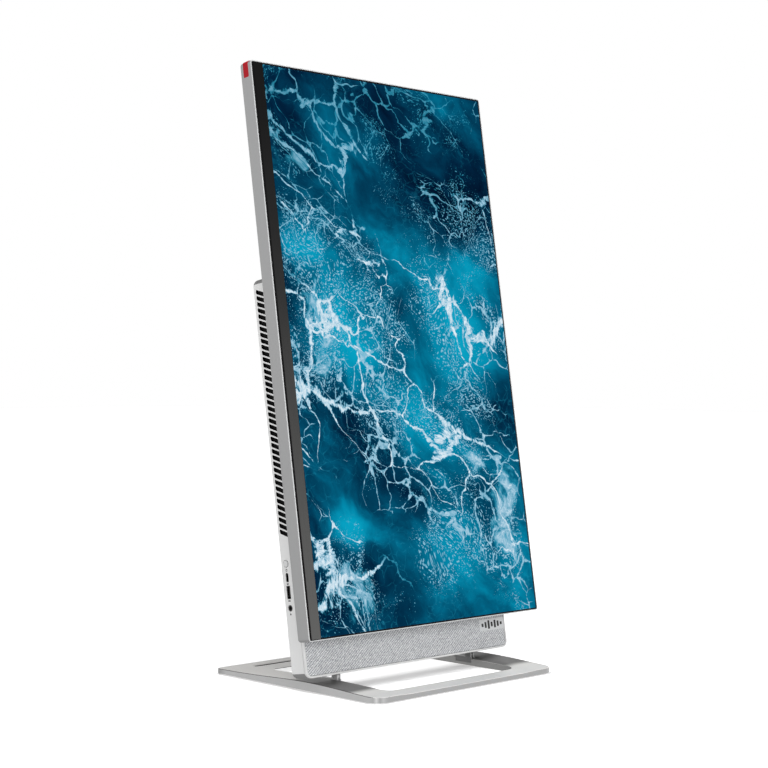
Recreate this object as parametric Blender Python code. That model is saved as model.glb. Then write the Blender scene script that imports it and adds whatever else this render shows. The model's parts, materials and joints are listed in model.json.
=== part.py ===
"""A 27-inch all-in-one desktop computer whose display turns between portrait and landscape.

Metres, +Z up, the screen faces -Y. The origin is the centre of the stand's footprint on the desk.
Three frames are used:
  world    the stand
  body     origin on the tilt hinge's axis, x right, y back, z up along the leaning computer body
  display  origin at the display's pivot on its front face, x right, y back, z up the screen
"""
import math

import bmesh
import bpy
from mathutils import Vector

GAP = 0.0003                       # left between pieces that touch

# Stand, in world coordinates
STAND_HALF_WIDTH = 0.1391
STAND_HALF_DEPTH = 0.1265
STAND_UNDERSIDE = 0.0008
STAND_BAR_TOP = 0.0060             # height of the front and rear bars
STAND_SIDE_RISE = 0.0040           # how much higher the side bars are beside the hinge
STAND_CORNER_RADIUS = 0.014
WINDOW_HALF_WIDTH = 0.101
WINDOW_FRONT = -0.1009
WINDOW_REAR = 0.0773
WINDOW_CORNER_RADIUS = 0.010
STAND_EDGE_ROUND = 0.0007
CREST_Y = -0.024                   # where the side bars are highest
CREST_SPREAD = 0.080
REST_SLOT = ((-0.1008, 0.1008), (0.1027, 0.1057))     # groove across the rear bar
REST_SLOT_FLOOR = 0.0030
FOOT_SIZE = (0.060, 0.010)
FOOT_HEIGHT = 0.0014
FOOT_PLACES = {
    "foot_front_left": (-0.095, -0.1135),
    "foot_front_right": (0.095, -0.1135),
    "foot_rear_left": (-0.095, 0.088),
    "foot_rear_right": (0.095, 0.088),
}

# Tilt hinge
TILT_AXIS = (0.0, -0.0301, 0.01285)
TILT_AT_REST = math.radians(9.14)
HINGE_X = (0.1012, 0.1064)         # the bracket, from its inner to its outer face
HINGE_SLOT_X = (0.1024, 0.1052)    # between the bracket's ears
HINGE_BLOCK_Y = (-0.0052, 0.0190)  # from the axis: the block's front and rear
HINGE_BLOCK_FLOOR = 0.0043
HINGE_BLOCK_TOP = 0.0102
HINGE_EAR_RADIUS = 0.0043
HINGE_PIN_RADIUS = 0.0020
HINGE_SLOT_DEPTH = 0.0018          # how far the slot between the ears goes into the block
ARM_HALF_DEPTH = 0.0035
ARM_LINK_Z = (0.0055, 0.0112)      # the arm's crossways part, just above the body's floor
ARM_UPRIGHT_X = (0.1153, 0.1247)
ARM_TOP = 0.205
ARM_FOOT_Z = 0.180                 # where the arm steps forward to the chassis plate

# Computer body, in the body frame
BODY_HALF_WIDTH = 0.156
BODY_BOTTOM = 0.0027
BODY_TOP = 0.423
BODY_LIP_Y = -0.0128
BODY_FRONT_Y = -0.0120
BODY_COVER_Y = -0.0094             # front edge of the rear cover
BODY_BACK_Y = 0.0120
BODY_WALL = 0.0020
BODY_CORNER_RADIUS = 0.008
BODY_BACK_ROUND = 0.004
BEZEL_WIDTH = 0.0022
FABRIC_TOP = 0.1700
COVER_BOTTOM = 0.1745
CHASSIS_Y = (-0.0092, -0.0082)
BOARD_Y = (-0.0044, -0.0028)
BOARD_X = (-0.110, 0.112)
BOARD_Z = (0.113, 0.293)
BOARD_HOLE_INSET = 0.006
VENT_COUNT = 40
VENT_PITCH = 0.0065
VENT_HEIGHT = 0.0040
VENT_TOP = 0.4093
VENT_Y = (-0.0070, 0.0070)
VENT_SLANT = 0.40                  # how far a slot rises for each metre it runs back
INTAKE_ROWS = 9
INTAKE_PITCH = 0.0066
INTAKE_X = (-0.126, -0.060)
INTAKE_TOP = 0.397
PORT_Y = 0.0022                    # depth of the left side's ports
BUTTON_Z = 0.122
USB_C_Z = 0.1076
USB_C_SIZE = (0.0034, 0.0091)      # across, and up the body
USB_A_Z = 0.0923
USB_A_SIZE = (0.0051, 0.0131)
JACK_Z = 0.0759
SOCKET_WALL = 0.0003
REAR_PORT_Z = 0.130
REAR_PORT_FRONT = -0.0025
REAR_PORT_BACK = 0.0116
REAR_PORT_WALL = 0.0006

# Pivot of the display, in the body frame
PIVOT = (0.0, -0.046, 0.343)
SHAFT_RADIUS = 0.015
SHAFT_BORE = 0.010
HUB_RADIUS = 0.050
STATOR_RADIUS = 0.056
STOP_ORBIT = 0.044
STOP_RADIUS = 0.002
STOP_START = math.radians(135)     # where the stop pin is in portrait, seen from the front
STOP_TRAVEL = math.radians(90)

# Display, in the display frame
DISPLAY_HALF_WIDTH = 0.1775
DISPLAY_HALF_HEIGHT = 0.302
DISPLAY_DEPTH = 0.020
DISPLAY_WALL = 0.0014
DISPLAY_CORNER_RADIUS = 0.003
DISPLAY_INNER_RADIUS = 0.0016
DISPLAY_BACK_ROUND = 0.0055
CHIN_X = (-0.1752, -0.1608)
PANEL_X = (-0.1605, 0.1758)
PANEL_HALF_HEIGHT = 0.3003
PANEL_CORNER_RADIUS = 0.0022
TAB_Z = (0.2855, 0.2975)
TAB_Y = (0.0048, 0.0128)
TAB_DEPTH = 0.0005

# Blower, in the body frame
FAN_CENTRE = (-0.0905, 0.3705)
FAN_Y = (-0.0064, 0.0010)
FAN_TIP_RADIUS = 0.036
FAN_HUB_RADIUS = 0.012
FAN_BLADES = 17
FAN_AXLE_RADIUS = 0.0027
HOUSING_X = (-0.1350, -0.0500)
HOUSING_Z = (0.3280, 0.4130)
HOUSING_WALL = 0.0012

# Plain blocks in the body: name -> x range, y range, z range, finish
BODY_BLOCKS = {
    "processor": ((-0.019, 0.019), (-0.0025, -0.0011), (0.219, 0.247), "ceramic"),
    "heat_spreader": ((-0.026, 0.026), (-0.0008, 0.0012), (0.212, 0.254), "copper"),
    "memory_module_upper": ((0.038, 0.1076), (-0.0025, -0.0010), (0.243, 0.273), "pcb"),
    "memory_module_lower": ((0.038, 0.1076), (-0.0025, -0.0010), (0.205, 0.235), "pcb"),
    "storage_drive": ((0.028, 0.108), (-0.0025, -0.0003), (0.155, 0.177), "pcb"),
    "wireless_card": ((-0.072, -0.042), (-0.0025, -0.0005), (0.155, 0.177), "pcb"),
    "side_io_board": ((-0.150, -0.128), (0.0054, 0.0066), (0.063, 0.135), "pcb"),
    "button_switch": ((-0.1506, -0.1468), (-0.0005, 0.0048), (0.119, 0.125), "black_plastic"),
}
# Plain blocks in the display
DISPLAY_BLOCKS = {
    "light_guide": ((-0.158, 0.173), (0.0030, 0.0055), (-0.297, 0.297), "diffuser"),
    "led_bar": ((-0.1700, -0.1630), (0.0034, 0.0050), (-0.290, 0.290), "diffuser"),
    "driver_board": ((-0.165, -0.125), (0.0074, 0.0090), (-0.110, 0.110), "pcb"),
}
# Connectors that face back: name -> centre x, width, height
REAR_PORTS = {
    "video_in_port": (-0.034, 0.0152, 0.0062),
    "video_out_port": (-0.010, 0.0152, 0.0062),
    "rear_usb_port_inner": (0.014, 0.0142, 0.0066),
    "rear_usb_port_outer": (0.036, 0.0142, 0.0066),
}
POWER_INLET_X = -0.062
POWER_INLET_RADIUS = 0.0055

FINISHES = {                       # colour, roughness, metallic
    "aluminium": ((0.66, 0.67, 0.68), 0.35, 1.0),
    "silver_plastic": ((0.42, 0.43, 0.44), 0.40, 0.4),
    "pale_plastic": ((0.78, 0.79, 0.79), 0.50, 0.0),
    "black_plastic": ((0.03, 0.03, 0.03), 0.50, 0.0),
    "black_gloss": ((0.02, 0.02, 0.02), 0.12, 0.0),
    "screen": ((0.01, 0.12, 0.22), 0.15, 0.0),
    "diffuser": ((0.85, 0.87, 0.88), 0.50, 0.0),
    "fabric": ((0.48, 0.49, 0.52), 0.90, 0.0),
    "tag": ((0.80, 0.80, 0.80), 0.60, 0.0),
    "red_plastic": ((0.45, 0.02, 0.03), 0.40, 0.0),
    "rubber": ((0.02, 0.02, 0.02), 0.85, 0.0),
    "steel": ((0.50, 0.51, 0.52), 0.35, 1.0),
    "dark_steel": ((0.10, 0.10, 0.11), 0.45, 1.0),
    "pcb": ((0.02, 0.16, 0.07), 0.45, 0.0),
    "copper": ((0.75, 0.36, 0.20), 0.30, 1.0),
    "ceramic": ((0.25, 0.26, 0.27), 0.50, 0.0),
}


# ---------------------------------------------------------------- outlines, as lists of (a, b)

def arc(centre, radius, start, end, steps):
    """Points on a circle from one angle to another, both included."""
    angles = [start + (end - start) * i / steps for i in range(steps + 1)]
    return [(centre[0] + radius * math.cos(t), centre[1] + radius * math.sin(t)) for t in angles]


def circle(centre, radius, steps=32):
    return arc(centre, radius, 0, 2 * math.pi, steps)[:-1]


def rounded_rectangle(a_range, b_range, radius, steps=4, square_side=None):
    """A rectangle with round corners, anticlockwise. The corners of square_side stay sharp."""
    (a0, a1), (b0, b1) = a_range, b_range
    points = []
    for quarter, (a, b) in enumerate(((a1, b0), (a1, b1), (a0, b1), (a0, b0))):
        if square_side == ("right" if a == a1 else "left"):
            points.append((a, b))
            continue
        centre = (a - math.copysign(radius, a - (a0 + a1) / 2), b - math.copysign(radius, b - (b0 + b1) / 2))
        start = (quarter - 1) * math.pi / 2
        points += arc(centre, radius, start, start + math.pi / 2, steps)
    return points


def centred(centre, size):
    return (centre - size / 2, centre + size / 2)


def pill(a_range, b_range, steps=4):
    """A slot with two half-round ends, longer along a."""
    radius = (b_range[1] - b_range[0]) / 2
    middle = (b_range[0] + b_range[1]) / 2
    right = arc((a_range[1] - radius, middle), radius, -math.pi / 2, math.pi / 2, steps)
    left = arc((a_range[0] + radius, middle), radius, math.pi / 2, 3 * math.pi / 2, steps)
    return right + left


# ---------------------------------------------------------------- solids

def on_axis(axis, a, b, along):
    """The point of an outline (a, b) at a distance along the axis it is extruded on."""
    return {"X": (along, a, b), "Y": (a, along, b), "Z": (a, b, along)}[axis]


def add_prism(mesh, outline, span, axis="Y", holes=()):
    """Adds a straight prism, with through holes, to a bmesh."""
    loops = [[mesh.verts.new(on_axis(axis, a, b, span[0])) for a, b in points]
             for points in (outline, *holes)]
    if holes:
        edges = [mesh.edges.new((loop[i - 1], loop[i])) for loop in loops for i in range(len(loop))]
        filled = bmesh.ops.triangle_fill(mesh, edges=edges, use_beauty=True)["geom"]
        faces = [item for item in filled if isinstance(item, bmesh.types.BMFace)]
    else:
        faces = [mesh.faces.new(loops[0])]
    grown = bmesh.ops.extrude_face_region(mesh, geom=faces)["geom"]
    moved = [item for item in grown if isinstance(item, bmesh.types.BMVert)]
    bmesh.ops.translate(mesh, verts=moved, vec=Vector(on_axis(axis, 0, 0, span[1] - span[0])))


def add_loft(mesh, loops, ring=False):
    """Joins loops of equally many points. A ring closes on itself, anything else gets two caps."""
    rows = [[mesh.verts.new(point) for point in loop] for loop in loops]
    pairs = list(zip(rows, rows[1:]))
    if ring:
        pairs.append((rows[-1], rows[0]))
    else:
        mesh.faces.new(rows[0])
        mesh.faces.new(rows[-1])
    for row, following in pairs:
        for i in range(len(row)):
            mesh.faces.new((row[i - 1], row[i], following[i], following[i - 1]))


def add_turned(mesh, centre, profile, axis="Y", ring=True, steps=40):
    """A turned piece: profile is a list of (radius, distance along the axis)."""
    loops = [[on_axis(axis, a, b, along) for a, b in circle(centre, radius, steps)]
             for radius, along in profile]
    add_loft(mesh, loops, ring)


def tube_profile(inner, outer, span):
    return [(outer, span[0]), (outer, span[1]), (inner, span[1]), (inner, span[0])]


def finish_object(name, finish, parent, data):
    item = bpy.data.objects.new(name, data)
    item.parent = parent
    bpy.context.scene.collection.objects.link(item)
    data.materials.append(bpy.data.materials[finish])
    return item


def solid(name, finish, parent, build):
    """Makes one object from a function that fills a bmesh."""
    mesh = bmesh.new()
    build(mesh)
    bmesh.ops.recalc_face_normals(mesh, faces=mesh.faces)
    data = bpy.data.meshes.new(name)
    mesh.to_mesh(data)
    mesh.free()
    data.shade_smooth()
    data.set_sharp_from_angle(angle=math.radians(35))
    return finish_object(name, finish, parent, data)


def prism(name, finish, parent, outline, span, axis="Y", holes=()):
    return solid(name, finish, parent, lambda mesh: add_prism(mesh, outline, span, axis, holes))


def block(name, finish, parent, x_range, y_range, z_range):
    corners = [(x_range[0], z_range[0]), (x_range[1], z_range[0]),
               (x_range[1], z_range[1]), (x_range[0], z_range[1])]
    return prism(name, finish, parent, corners, y_range)


def turned(name, finish, parent, centre, profile, axis="Y", ring=True, steps=40):
    return solid(name, finish, parent,
                 lambda mesh: add_turned(mesh, centre, profile, axis, ring, steps))


def boolean(item, operation, build):
    """Cuts from a piece, or joins to it, the shape that a function fills a bmesh with."""
    tool = solid(f"{item.name}_{operation.lower()}_{len(item.modifiers)}", "steel", item.parent, build)
    tool.hide_render = True
    tool.display_type = "WIRE"
    change = item.modifiers.new(tool.name, "BOOLEAN")
    change.operation = operation
    change.object = tool


def cut(item, build):
    boolean(item, "DIFFERENCE", build)


def join(item, build):
    boolean(item, "UNION", build)


# ---------------------------------------------------------------- stand

def side_bar_height(x, y):
    """The stand's top: level at front and rear, and swelling along the side bars."""
    sideways = min(max((abs(x) - 0.086) / 0.026, 0.0), 1.0)
    sideways = sideways * sideways * (3 - 2 * sideways)
    crest = math.exp(-((y - CREST_Y) / CREST_SPREAD) ** 2)
    return STAND_BAR_TOP + STAND_SIDE_RISE * crest * sideways


def resampled(outline, count):
    """The same closed outline with evenly spread points."""
    points = [Vector(point) for point in outline]
    lengths = [(points[(i + 1) % len(points)] - points[i]).length for i in range(len(points))]
    total = sum(lengths)
    spread = []
    for k in range(count):
        target = total * k / count
        i = 0
        while target > lengths[i]:
            target -= lengths[i]
            i += 1
        spread.append(points[i].lerp(points[(i + 1) % len(points)], target / lengths[i]))
    return spread


def make_base_ring():
    count = 112

    def build(mesh):
        outer = resampled(rounded_rectangle((-STAND_HALF_WIDTH, STAND_HALF_WIDTH),
                                            (-STAND_HALF_DEPTH, STAND_HALF_DEPTH),
                                            STAND_CORNER_RADIUS, 8), count)
        inner = resampled(rounded_rectangle((-WINDOW_HALF_WIDTH, WINDOW_HALF_WIDTH),
                                            (WINDOW_FRONT, WINDOW_REAR),
                                            WINDOW_CORNER_RADIUS, 8), count)

        def loop(across, drop):
            points = [a.lerp(b, across) for a, b in zip(outer, inner)]
            return [(p.x, p.y, side_bar_height(p.x, p.y) - drop) for p in points]

        underside = [[(p.x, p.y, STAND_UNDERSIDE) for p in edge] for edge in (outer, inner)]
        edge = STAND_EDGE_ROUND
        across = 0.02
        loops = [underside[0], loop(0, edge), loop(across, 0), loop(0.35, 0), loop(0.65, 0),
                 loop(1 - across, 0), loop(1, edge), underside[1]]
        add_loft(mesh, loops, ring=True)

    ring = solid("base_ring", "aluminium", None, build)

    def pockets(mesh):
        add_prism(mesh, pill(*REST_SLOT, 3), (REST_SLOT_FLOOR, 0.02), "Z")
        for x, y in FOOT_PLACES.values():
            outline = pill(centred(x, FOOT_SIZE[0] + 2 * GAP), centred(y, FOOT_SIZE[1] + 2 * GAP))
            add_prism(mesh, outline, (-0.002, FOOT_HEIGHT + GAP), "Z")
        pocket_y = (TILT_AXIS[1] + HINGE_BLOCK_Y[0] - GAP, TILT_AXIS[1] + HINGE_BLOCK_Y[1] + GAP)
        for side in (-1, 1):
            x_range = sorted((side * (WINDOW_HALF_WIDTH - 0.002), side * (HINGE_X[1] + GAP)))
            outline = rounded_rectangle(x_range, pocket_y, 0.001, 2)
            add_prism(mesh, outline, (HINGE_BLOCK_FLOOR - GAP, 0.02), "Z")

    cut(ring, pockets)


def make_feet():
    for name, (x, y) in FOOT_PLACES.items():
        outline = pill(centred(x, FOOT_SIZE[0]), centred(y, FOOT_SIZE[1]))
        prism(name, "rubber", None, outline, (0.0, FOOT_HEIGHT), "Z")


def ear_outline(radius, half_width, foot):
    """A tongue with a round end on the hinge axis, in (y, z): foot is where its straight end is."""
    rise = math.asin(half_width / radius)
    toward = -1 if foot < 0 else 1
    start = -toward * (math.pi / 2 - rise)
    round_end = arc((0, 0), radius, start, -toward * math.pi - start, 14)
    return round_end + [(-half_width, foot), (half_width, foot)]


def make_hinge(side, label):
    """The bracket fixed in the stand and its pin, left or right."""
    axis_y, axis_z = TILT_AXIS[1:]
    ear_foot = HINGE_BLOCK_TOP - axis_z
    floor = HINGE_BLOCK_FLOOR - axis_z
    front, rear = HINGE_BLOCK_Y
    ear = ear_outline(HINGE_EAR_RADIUS, HINGE_EAR_RADIUS * 0.98, ear_foot)
    outline = ear[:-2] + [(-HINGE_EAR_RADIUS, ear_foot), (front, ear_foot), (front, floor),
                          (rear, floor), (rear, ear_foot), (HINGE_EAR_RADIUS, ear_foot)]

    def in_world(points):
        return [(y + axis_y, z + axis_z) for y, z in points]

    span = sorted((side * HINGE_X[0], side * HINGE_X[1]))
    bore = circle((0, 0), HINGE_PIN_RADIUS + GAP, 16)
    bracket = prism(f"hinge_bracket_{label}", "dark_steel", None, in_world(outline), span, "X",
                    holes=[in_world(bore)])
    slot = sorted((side * HINGE_SLOT_X[0], side * HINGE_SLOT_X[1]))
    reach = HINGE_EAR_RADIUS + 0.002
    slot_floor = ear_foot - HINGE_SLOT_DEPTH
    slot_outline = [(-reach, slot_floor), (reach, slot_floor), (reach, reach), (-reach, reach)]
    cut(bracket, lambda mesh: add_prism(mesh, in_world(slot_outline), slot, "X"))
    pin_span = sorted((side * (HINGE_X[0] + GAP), side * (HINGE_X[1] - GAP)))
    prism(f"hinge_pin_{label}", "steel", None, in_world(circle((0, 0), HINGE_PIN_RADIUS, 16)), pin_span, "X")


def make_hinge_arm(body, side, label):
    """The arm that turns on the pin and carries the body's chassis plate."""
    depth = ARM_HALF_DEPTH
    knuckle = HINGE_EAR_RADIUS - GAP
    rise = math.acos(depth / knuckle)
    round_end = arc((0, 0), knuckle, math.pi - rise, 2 * math.pi + rise, 16)
    chassis = CHASSIS_Y[1] + GAP
    leg_top = (ARM_LINK_Z[0] + ARM_LINK_Z[1]) / 2
    leg_x = (HINGE_SLOT_X[0] + GAP, HINGE_SLOT_X[1] - GAP)
    arm = prism(f"hinge_arm_{label}", "steel", body, round_end + [(depth, leg_top), (-depth, leg_top)],
                sorted(side * x for x in leg_x), "X", holes=[circle((0, 0), HINGE_PIN_RADIUS + GAP, 16)])
    link = [(-depth, ARM_LINK_Z[0]), (depth, ARM_LINK_Z[0]), (depth, ARM_LINK_Z[1]), (-depth, ARM_LINK_Z[1])]
    join(arm, lambda mesh: add_prism(mesh, link, sorted((side * leg_x[0], side * ARM_UPRIGHT_X[1])), "X"))
    upright = [(-depth, leg_top), (depth, leg_top), (depth, ARM_TOP), (chassis, ARM_TOP), (chassis, ARM_FOOT_Z),
               (-depth, ARM_FOOT_Z)]
    join(arm, lambda mesh: add_prism(mesh, upright, sorted(side * x for x in ARM_UPRIGHT_X), "X"))


# ---------------------------------------------------------------- computer body

def body_outline(inset=0.0, radius=None):
    return rounded_rectangle((-BODY_HALF_WIDTH + inset, BODY_HALF_WIDTH - inset),
                             (BODY_BOTTOM + inset, BODY_TOP - inset),
                             radius or BODY_CORNER_RADIUS - inset, 5)


def tub_loops(outline_at, inner_radius, front, back, wall, edge_round, steps=3):
    """Loops of an open tub with a round back edge, from the outside of its back to the inside.

    outline_at(inset, corner radius or None for the outside's own) gives the tub's outline.
    """
    outside = []
    for i in range(steps + 1):
        turn = math.pi / 2 * i / steps
        outside.append((edge_round * (1 - math.sin(turn)), back - edge_round * (1 - math.cos(turn))))
    outside.append((0.0, front))
    inside = [(wall, front), (wall, back - edge_round), (edge_round, back - wall)]
    loops = [[(a, y, b) for a, b in outline_at(inset)] for inset, y in outside]
    return loops + [[(a, y, b) for a, b in outline_at(inset, inner_radius)] for inset, y in inside]


def vent_outline(i):
    """One side slot in (y, z), rising towards the back."""
    top = VENT_TOP - i * VENT_PITCH
    middle = sum(VENT_Y) / 2
    level = pill(VENT_Y, (top - VENT_HEIGHT, top), 3)
    return [(y, z + VENT_SLANT * (y - middle)) for y, z in level]


def make_rear_cover(body):
    cover = solid("rear_cover", "pale_plastic", body, lambda mesh: add_loft(mesh, tub_loops(
        body_outline, BODY_CORNER_RADIUS - BODY_WALL, BODY_COVER_Y, BODY_BACK_Y, BODY_WALL, BODY_BACK_ROUND)))
    wall_left = (-BODY_HALF_WIDTH - 0.002, -BODY_HALF_WIDTH + BODY_WALL + 0.001)
    wall_right = (BODY_HALF_WIDTH - BODY_WALL - 0.001, BODY_HALF_WIDTH + 0.002)
    wall_back = (BODY_BACK_Y - BODY_WALL - 0.001, BODY_BACK_Y + 0.002)

    def openings(mesh):
        for i in range(VENT_COUNT):
            for wall in (wall_left, wall_right):
                add_prism(mesh, vent_outline(i), wall, "X")
        for i in range(INTAKE_ROWS):
            low = INTAKE_TOP - i * INTAKE_PITCH
            add_prism(mesh, pill(INTAKE_X, (low - 0.003, low), 3), wall_back)
        for x, width, height in REAR_PORTS.values():
            x_range = centred(x, width + 4 * GAP)
            z_range = centred(REAR_PORT_Z, height + 4 * GAP)
            add_prism(mesh, rounded_rectangle(x_range, z_range, 0.0008, 2), wall_back)
        add_prism(mesh, circle((POWER_INLET_X, REAR_PORT_Z), POWER_INLET_RADIUS + 2 * GAP, 24), wall_back)
        for side in (-1, 1):
            x_range = sorted((side * (HINGE_X[0] - 0.0005), side * (HINGE_X[1] + 0.0005)))
            add_prism(mesh, rounded_rectangle(x_range, (-0.0052, 0.0052), 0.0008, 2),
                      (BODY_BOTTOM - 0.002, BODY_BOTTOM + BODY_WALL + 0.001), "Z")
        add_prism(mesh, circle((PORT_Y, BUTTON_Z), 0.0039, 24), wall_left, "X")
        add_prism(mesh, circle((PORT_Y, JACK_Z), 0.0035, 24), wall_left, "X")
        for z, (depth, height), corner in ((USB_C_Z, USB_C_SIZE, 0.00195), (USB_A_Z, USB_A_SIZE, 0.0006)):
            y_range = centred(PORT_Y, depth + 2 * GAP)
            z_range = centred(z, height + 2 * GAP)
            add_prism(mesh, rounded_rectangle(y_range, z_range, corner, 4), wall_left, "X")

    cut(cover, openings)


def make_body_front(body):
    window_x = (-BODY_HALF_WIDTH + BEZEL_WIDTH, BODY_HALF_WIDTH - BEZEL_WIDTH)
    window_radius = BODY_CORNER_RADIUS - BEZEL_WIDTH
    lower = (BODY_BOTTOM + BEZEL_WIDTH, FABRIC_TOP)
    upper = (COVER_BOTTOM, BODY_TOP - BEZEL_WIDTH)
    prism("front_bezel", "pale_plastic", body, body_outline(),
          (BODY_LIP_Y, BODY_COVER_Y - GAP),
          holes=[rounded_rectangle(window_x, lower, window_radius, 5),
                 rounded_rectangle(window_x, upper, window_radius, 5)])

    def inside(z_range, gap):
        return rounded_rectangle((window_x[0] + gap, window_x[1] - gap),
                                 (z_range[0] + gap, z_range[1] - gap), window_radius - gap, 5)

    pivot = (PIVOT[0], PIVOT[2])
    prism("front_cover", "pale_plastic", body, inside(upper, GAP), (BODY_FRONT_Y, -0.0102),
          holes=[circle(pivot, STATOR_RADIUS + 0.001, 48)])
    slots = []
    for side in (-1, 1):
        for row in range(7):
            z = 0.020 + 0.009 * row
            slots.append(pill(sorted((side * 0.046, side * 0.102)), (z - 0.002, z + 0.002), 3))
    prism("speaker_grille", "black_plastic", body, inside(lower, GAP), (-0.0111, -0.0099), holes=slots)
    prism("speaker_fabric", "fabric", body, inside(lower, GAP), (-0.0121, -0.0114))
    prism("label_tag", "tag", body, rounded_rectangle((0.1125, 0.1532), (0.0240, 0.0372), 0.0006, 2),
          (-0.0128, -0.0124))


def make_chassis(body):
    pivot = (PIVOT[0], PIVOT[2])
    cut_outs = [rounded_rectangle(centred(x, 0.030), (0.190, 0.250), 0.004, 2) for x in (-0.090, 0.075)]
    chassis = prism("chassis_plate", "steel", body,
                    rounded_rectangle((-0.150, 0.150), (0.176, 0.417), 0.005, 3), CHASSIS_Y,
                    holes=[circle(pivot, SHAFT_RADIUS + 0.001, 32)] + cut_outs)

    def posts(mesh):
        for x in (-0.104, -0.030, 0.106):
            for z in (0.182, 0.288):
                add_prism(mesh, circle((x, z), 0.0025, 12), (CHASSIS_Y[0] + 0.0005, BOARD_Y[0] - GAP))

    join(chassis, posts)
    prism("main_board", "pcb", body, rounded_rectangle(BOARD_X, BOARD_Z, 0.002, 2), BOARD_Y,
          holes=[circle((x, z), 0.0016, 12)
                 for x in (BOARD_X[0] + BOARD_HOLE_INSET, BOARD_X[1] - BOARD_HOLE_INSET)
                 for z in (BOARD_Z[0] + BOARD_HOLE_INSET, BOARD_Z[1] - BOARD_HOLE_INSET)])


def make_cooling(body, fan):
    x, z = FAN_CENTRE
    housing = prism("fan_housing", "black_plastic", body,
                    rounded_rectangle(HOUSING_X, HOUSING_Z, 0.010, 4, "left"), (-0.0079, 0.0025))

    wall = HOUSING_WALL
    cavity = rounded_rectangle((HOUSING_X[0] - 0.010, HOUSING_X[1] - wall),
                               (HOUSING_Z[0] + wall, HOUSING_Z[1] - wall), 0.0088, 4, "left")
    cut(housing, lambda mesh: add_prism(mesh, cavity, (-0.0070, 0.0016)))
    cut(housing, lambda mesh: add_prism(mesh, circle((x, z), 0.024, 32), (0.0010, 0.0040)))
    turned("fan_axle", "steel", body, FAN_CENTRE,
           [(FAN_AXLE_RADIUS, -0.0067), (FAN_AXLE_RADIUS, 0.0004)], ring=False, steps=16)
    blades = []
    middle = (FAN_HUB_RADIUS + FAN_TIP_RADIUS) / 2
    for i in range(FAN_BLADES):
        root = 2 * math.pi * i / FAN_BLADES
        for radius, lean, half in ((FAN_HUB_RADIUS, 0.0, -0.030), (middle, 0.10, -0.015),
                                   (FAN_TIP_RADIUS, 0.20, -0.015), (FAN_TIP_RADIUS, 0.20, 0.015),
                                   (middle, 0.10, 0.015), (FAN_HUB_RADIUS, 0.0, 0.030)):
            angle = root + lean + half
            blades.append((radius * math.cos(angle), radius * math.sin(angle)))
    bore = circle((0, 0), FAN_AXLE_RADIUS + GAP, 16)
    prism("fan_impeller", "black_plastic", fan, blades,
          FAN_Y, holes=[bore])

    pitch, thickness, tooth_top = 0.0041, 0.0008, 0.0002
    comb = [(0.0012, 0.4150), (0.0012, 0.3250)]
    for i in range(22):
        foot = 0.3250 + i * pitch
        comb += [(-0.0075, foot), (-0.0075, foot + thickness), (tooth_top, foot + thickness),
                 (tooth_top, foot + pitch)]
    comb[-1] = (tooth_top, 0.4150)
    prism("fin_stack", "copper", body, comb, (-0.1525, -0.1385), "X")

    pipe = bpy.data.curves.new("heat_pipe", "CURVE")
    pipe.dimensions = "3D"
    pipe.bevel_depth = 0.0025
    pipe.bevel_resolution = 2
    pipe.use_fill_caps = True
    corner = arc((-0.110, 0.269), 0.036, -math.pi / 2, -math.pi, 8)
    path = [(0.022, 0.233)] + corner + [(-0.146, 0.400)]
    line = pipe.splines.new("POLY")
    line.points.add(len(path) - 1)
    for point, (px, pz) in zip(line.points, path):
        point.co = (px, 0.0040, pz, 1.0)
    finish_object("heat_pipe", "copper", body, pipe)


def socket_loops(outer, inner, tongue, mouth, depth, axis, inward):
    """Loops of a connector shell that is open at its mouth, with a tongue standing on its floor."""
    floor = mouth + inward * (depth - 0.0010)
    chain = [(outer, mouth + inward * depth), (outer, mouth), (inner, mouth), (inner, floor),
             (tongue, floor), (tongue, mouth + inward * 0.0008)]
    return [[on_axis(axis, a, b, along) for a, b in points] for points, along in chain]


def make_side_ports(body, button):
    """What shows on the left side: button, two sockets and the headset jack."""
    mouth = -BODY_HALF_WIDTH + 0.0004

    def port(name, z, size, corner, tongue, depth):
        """tongue: its distance behind the socket's middle, its thickness and its height."""
        wall = SOCKET_WALL
        outer = rounded_rectangle(centred(PORT_Y, size[0]), centred(z, size[1]), corner, 4)
        inner = rounded_rectangle(centred(PORT_Y, size[0] - 2 * wall), centred(z, size[1] - 2 * wall),
                                  max(corner - wall, 0.0002), 4)
        blade = rounded_rectangle(centred(PORT_Y + tongue[0], tongue[1]), centred(z, tongue[2]), 0.0002, 4)
        solid(name, "steel", body, lambda mesh: add_loft(
            mesh, socket_loops(outer, inner, blade, mouth, depth, "X", 1)))

    port("usb_c_port", USB_C_Z, USB_C_SIZE, 0.0016, (0, 0.0007, 0.0064), 0.0075)
    port("usb_a_port", USB_A_Z, USB_A_SIZE, 0.0005, (0.0009, 0.0018, 0.0112), 0.0140)
    turned("audio_jack", "black_plastic", body, (PORT_Y, JACK_Z),
           [(0.0032, mouth + 0.012), (0.0032, mouth), (0.0018, mouth), (0.0018, mouth + 0.011)],
           "X", ring=False, steps=24)
    turned("power_button", "silver_plastic", button, (0, 0),
           [(0.0030, 0), (0.0036, 0.0003), (0.0036, 0.0028), (0.0046, 0.0028), (0.0046, 0.0036),
            (0.0015, 0.0036), (0.0015, 0.0050)], "X", ring=False, steps=28)


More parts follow.
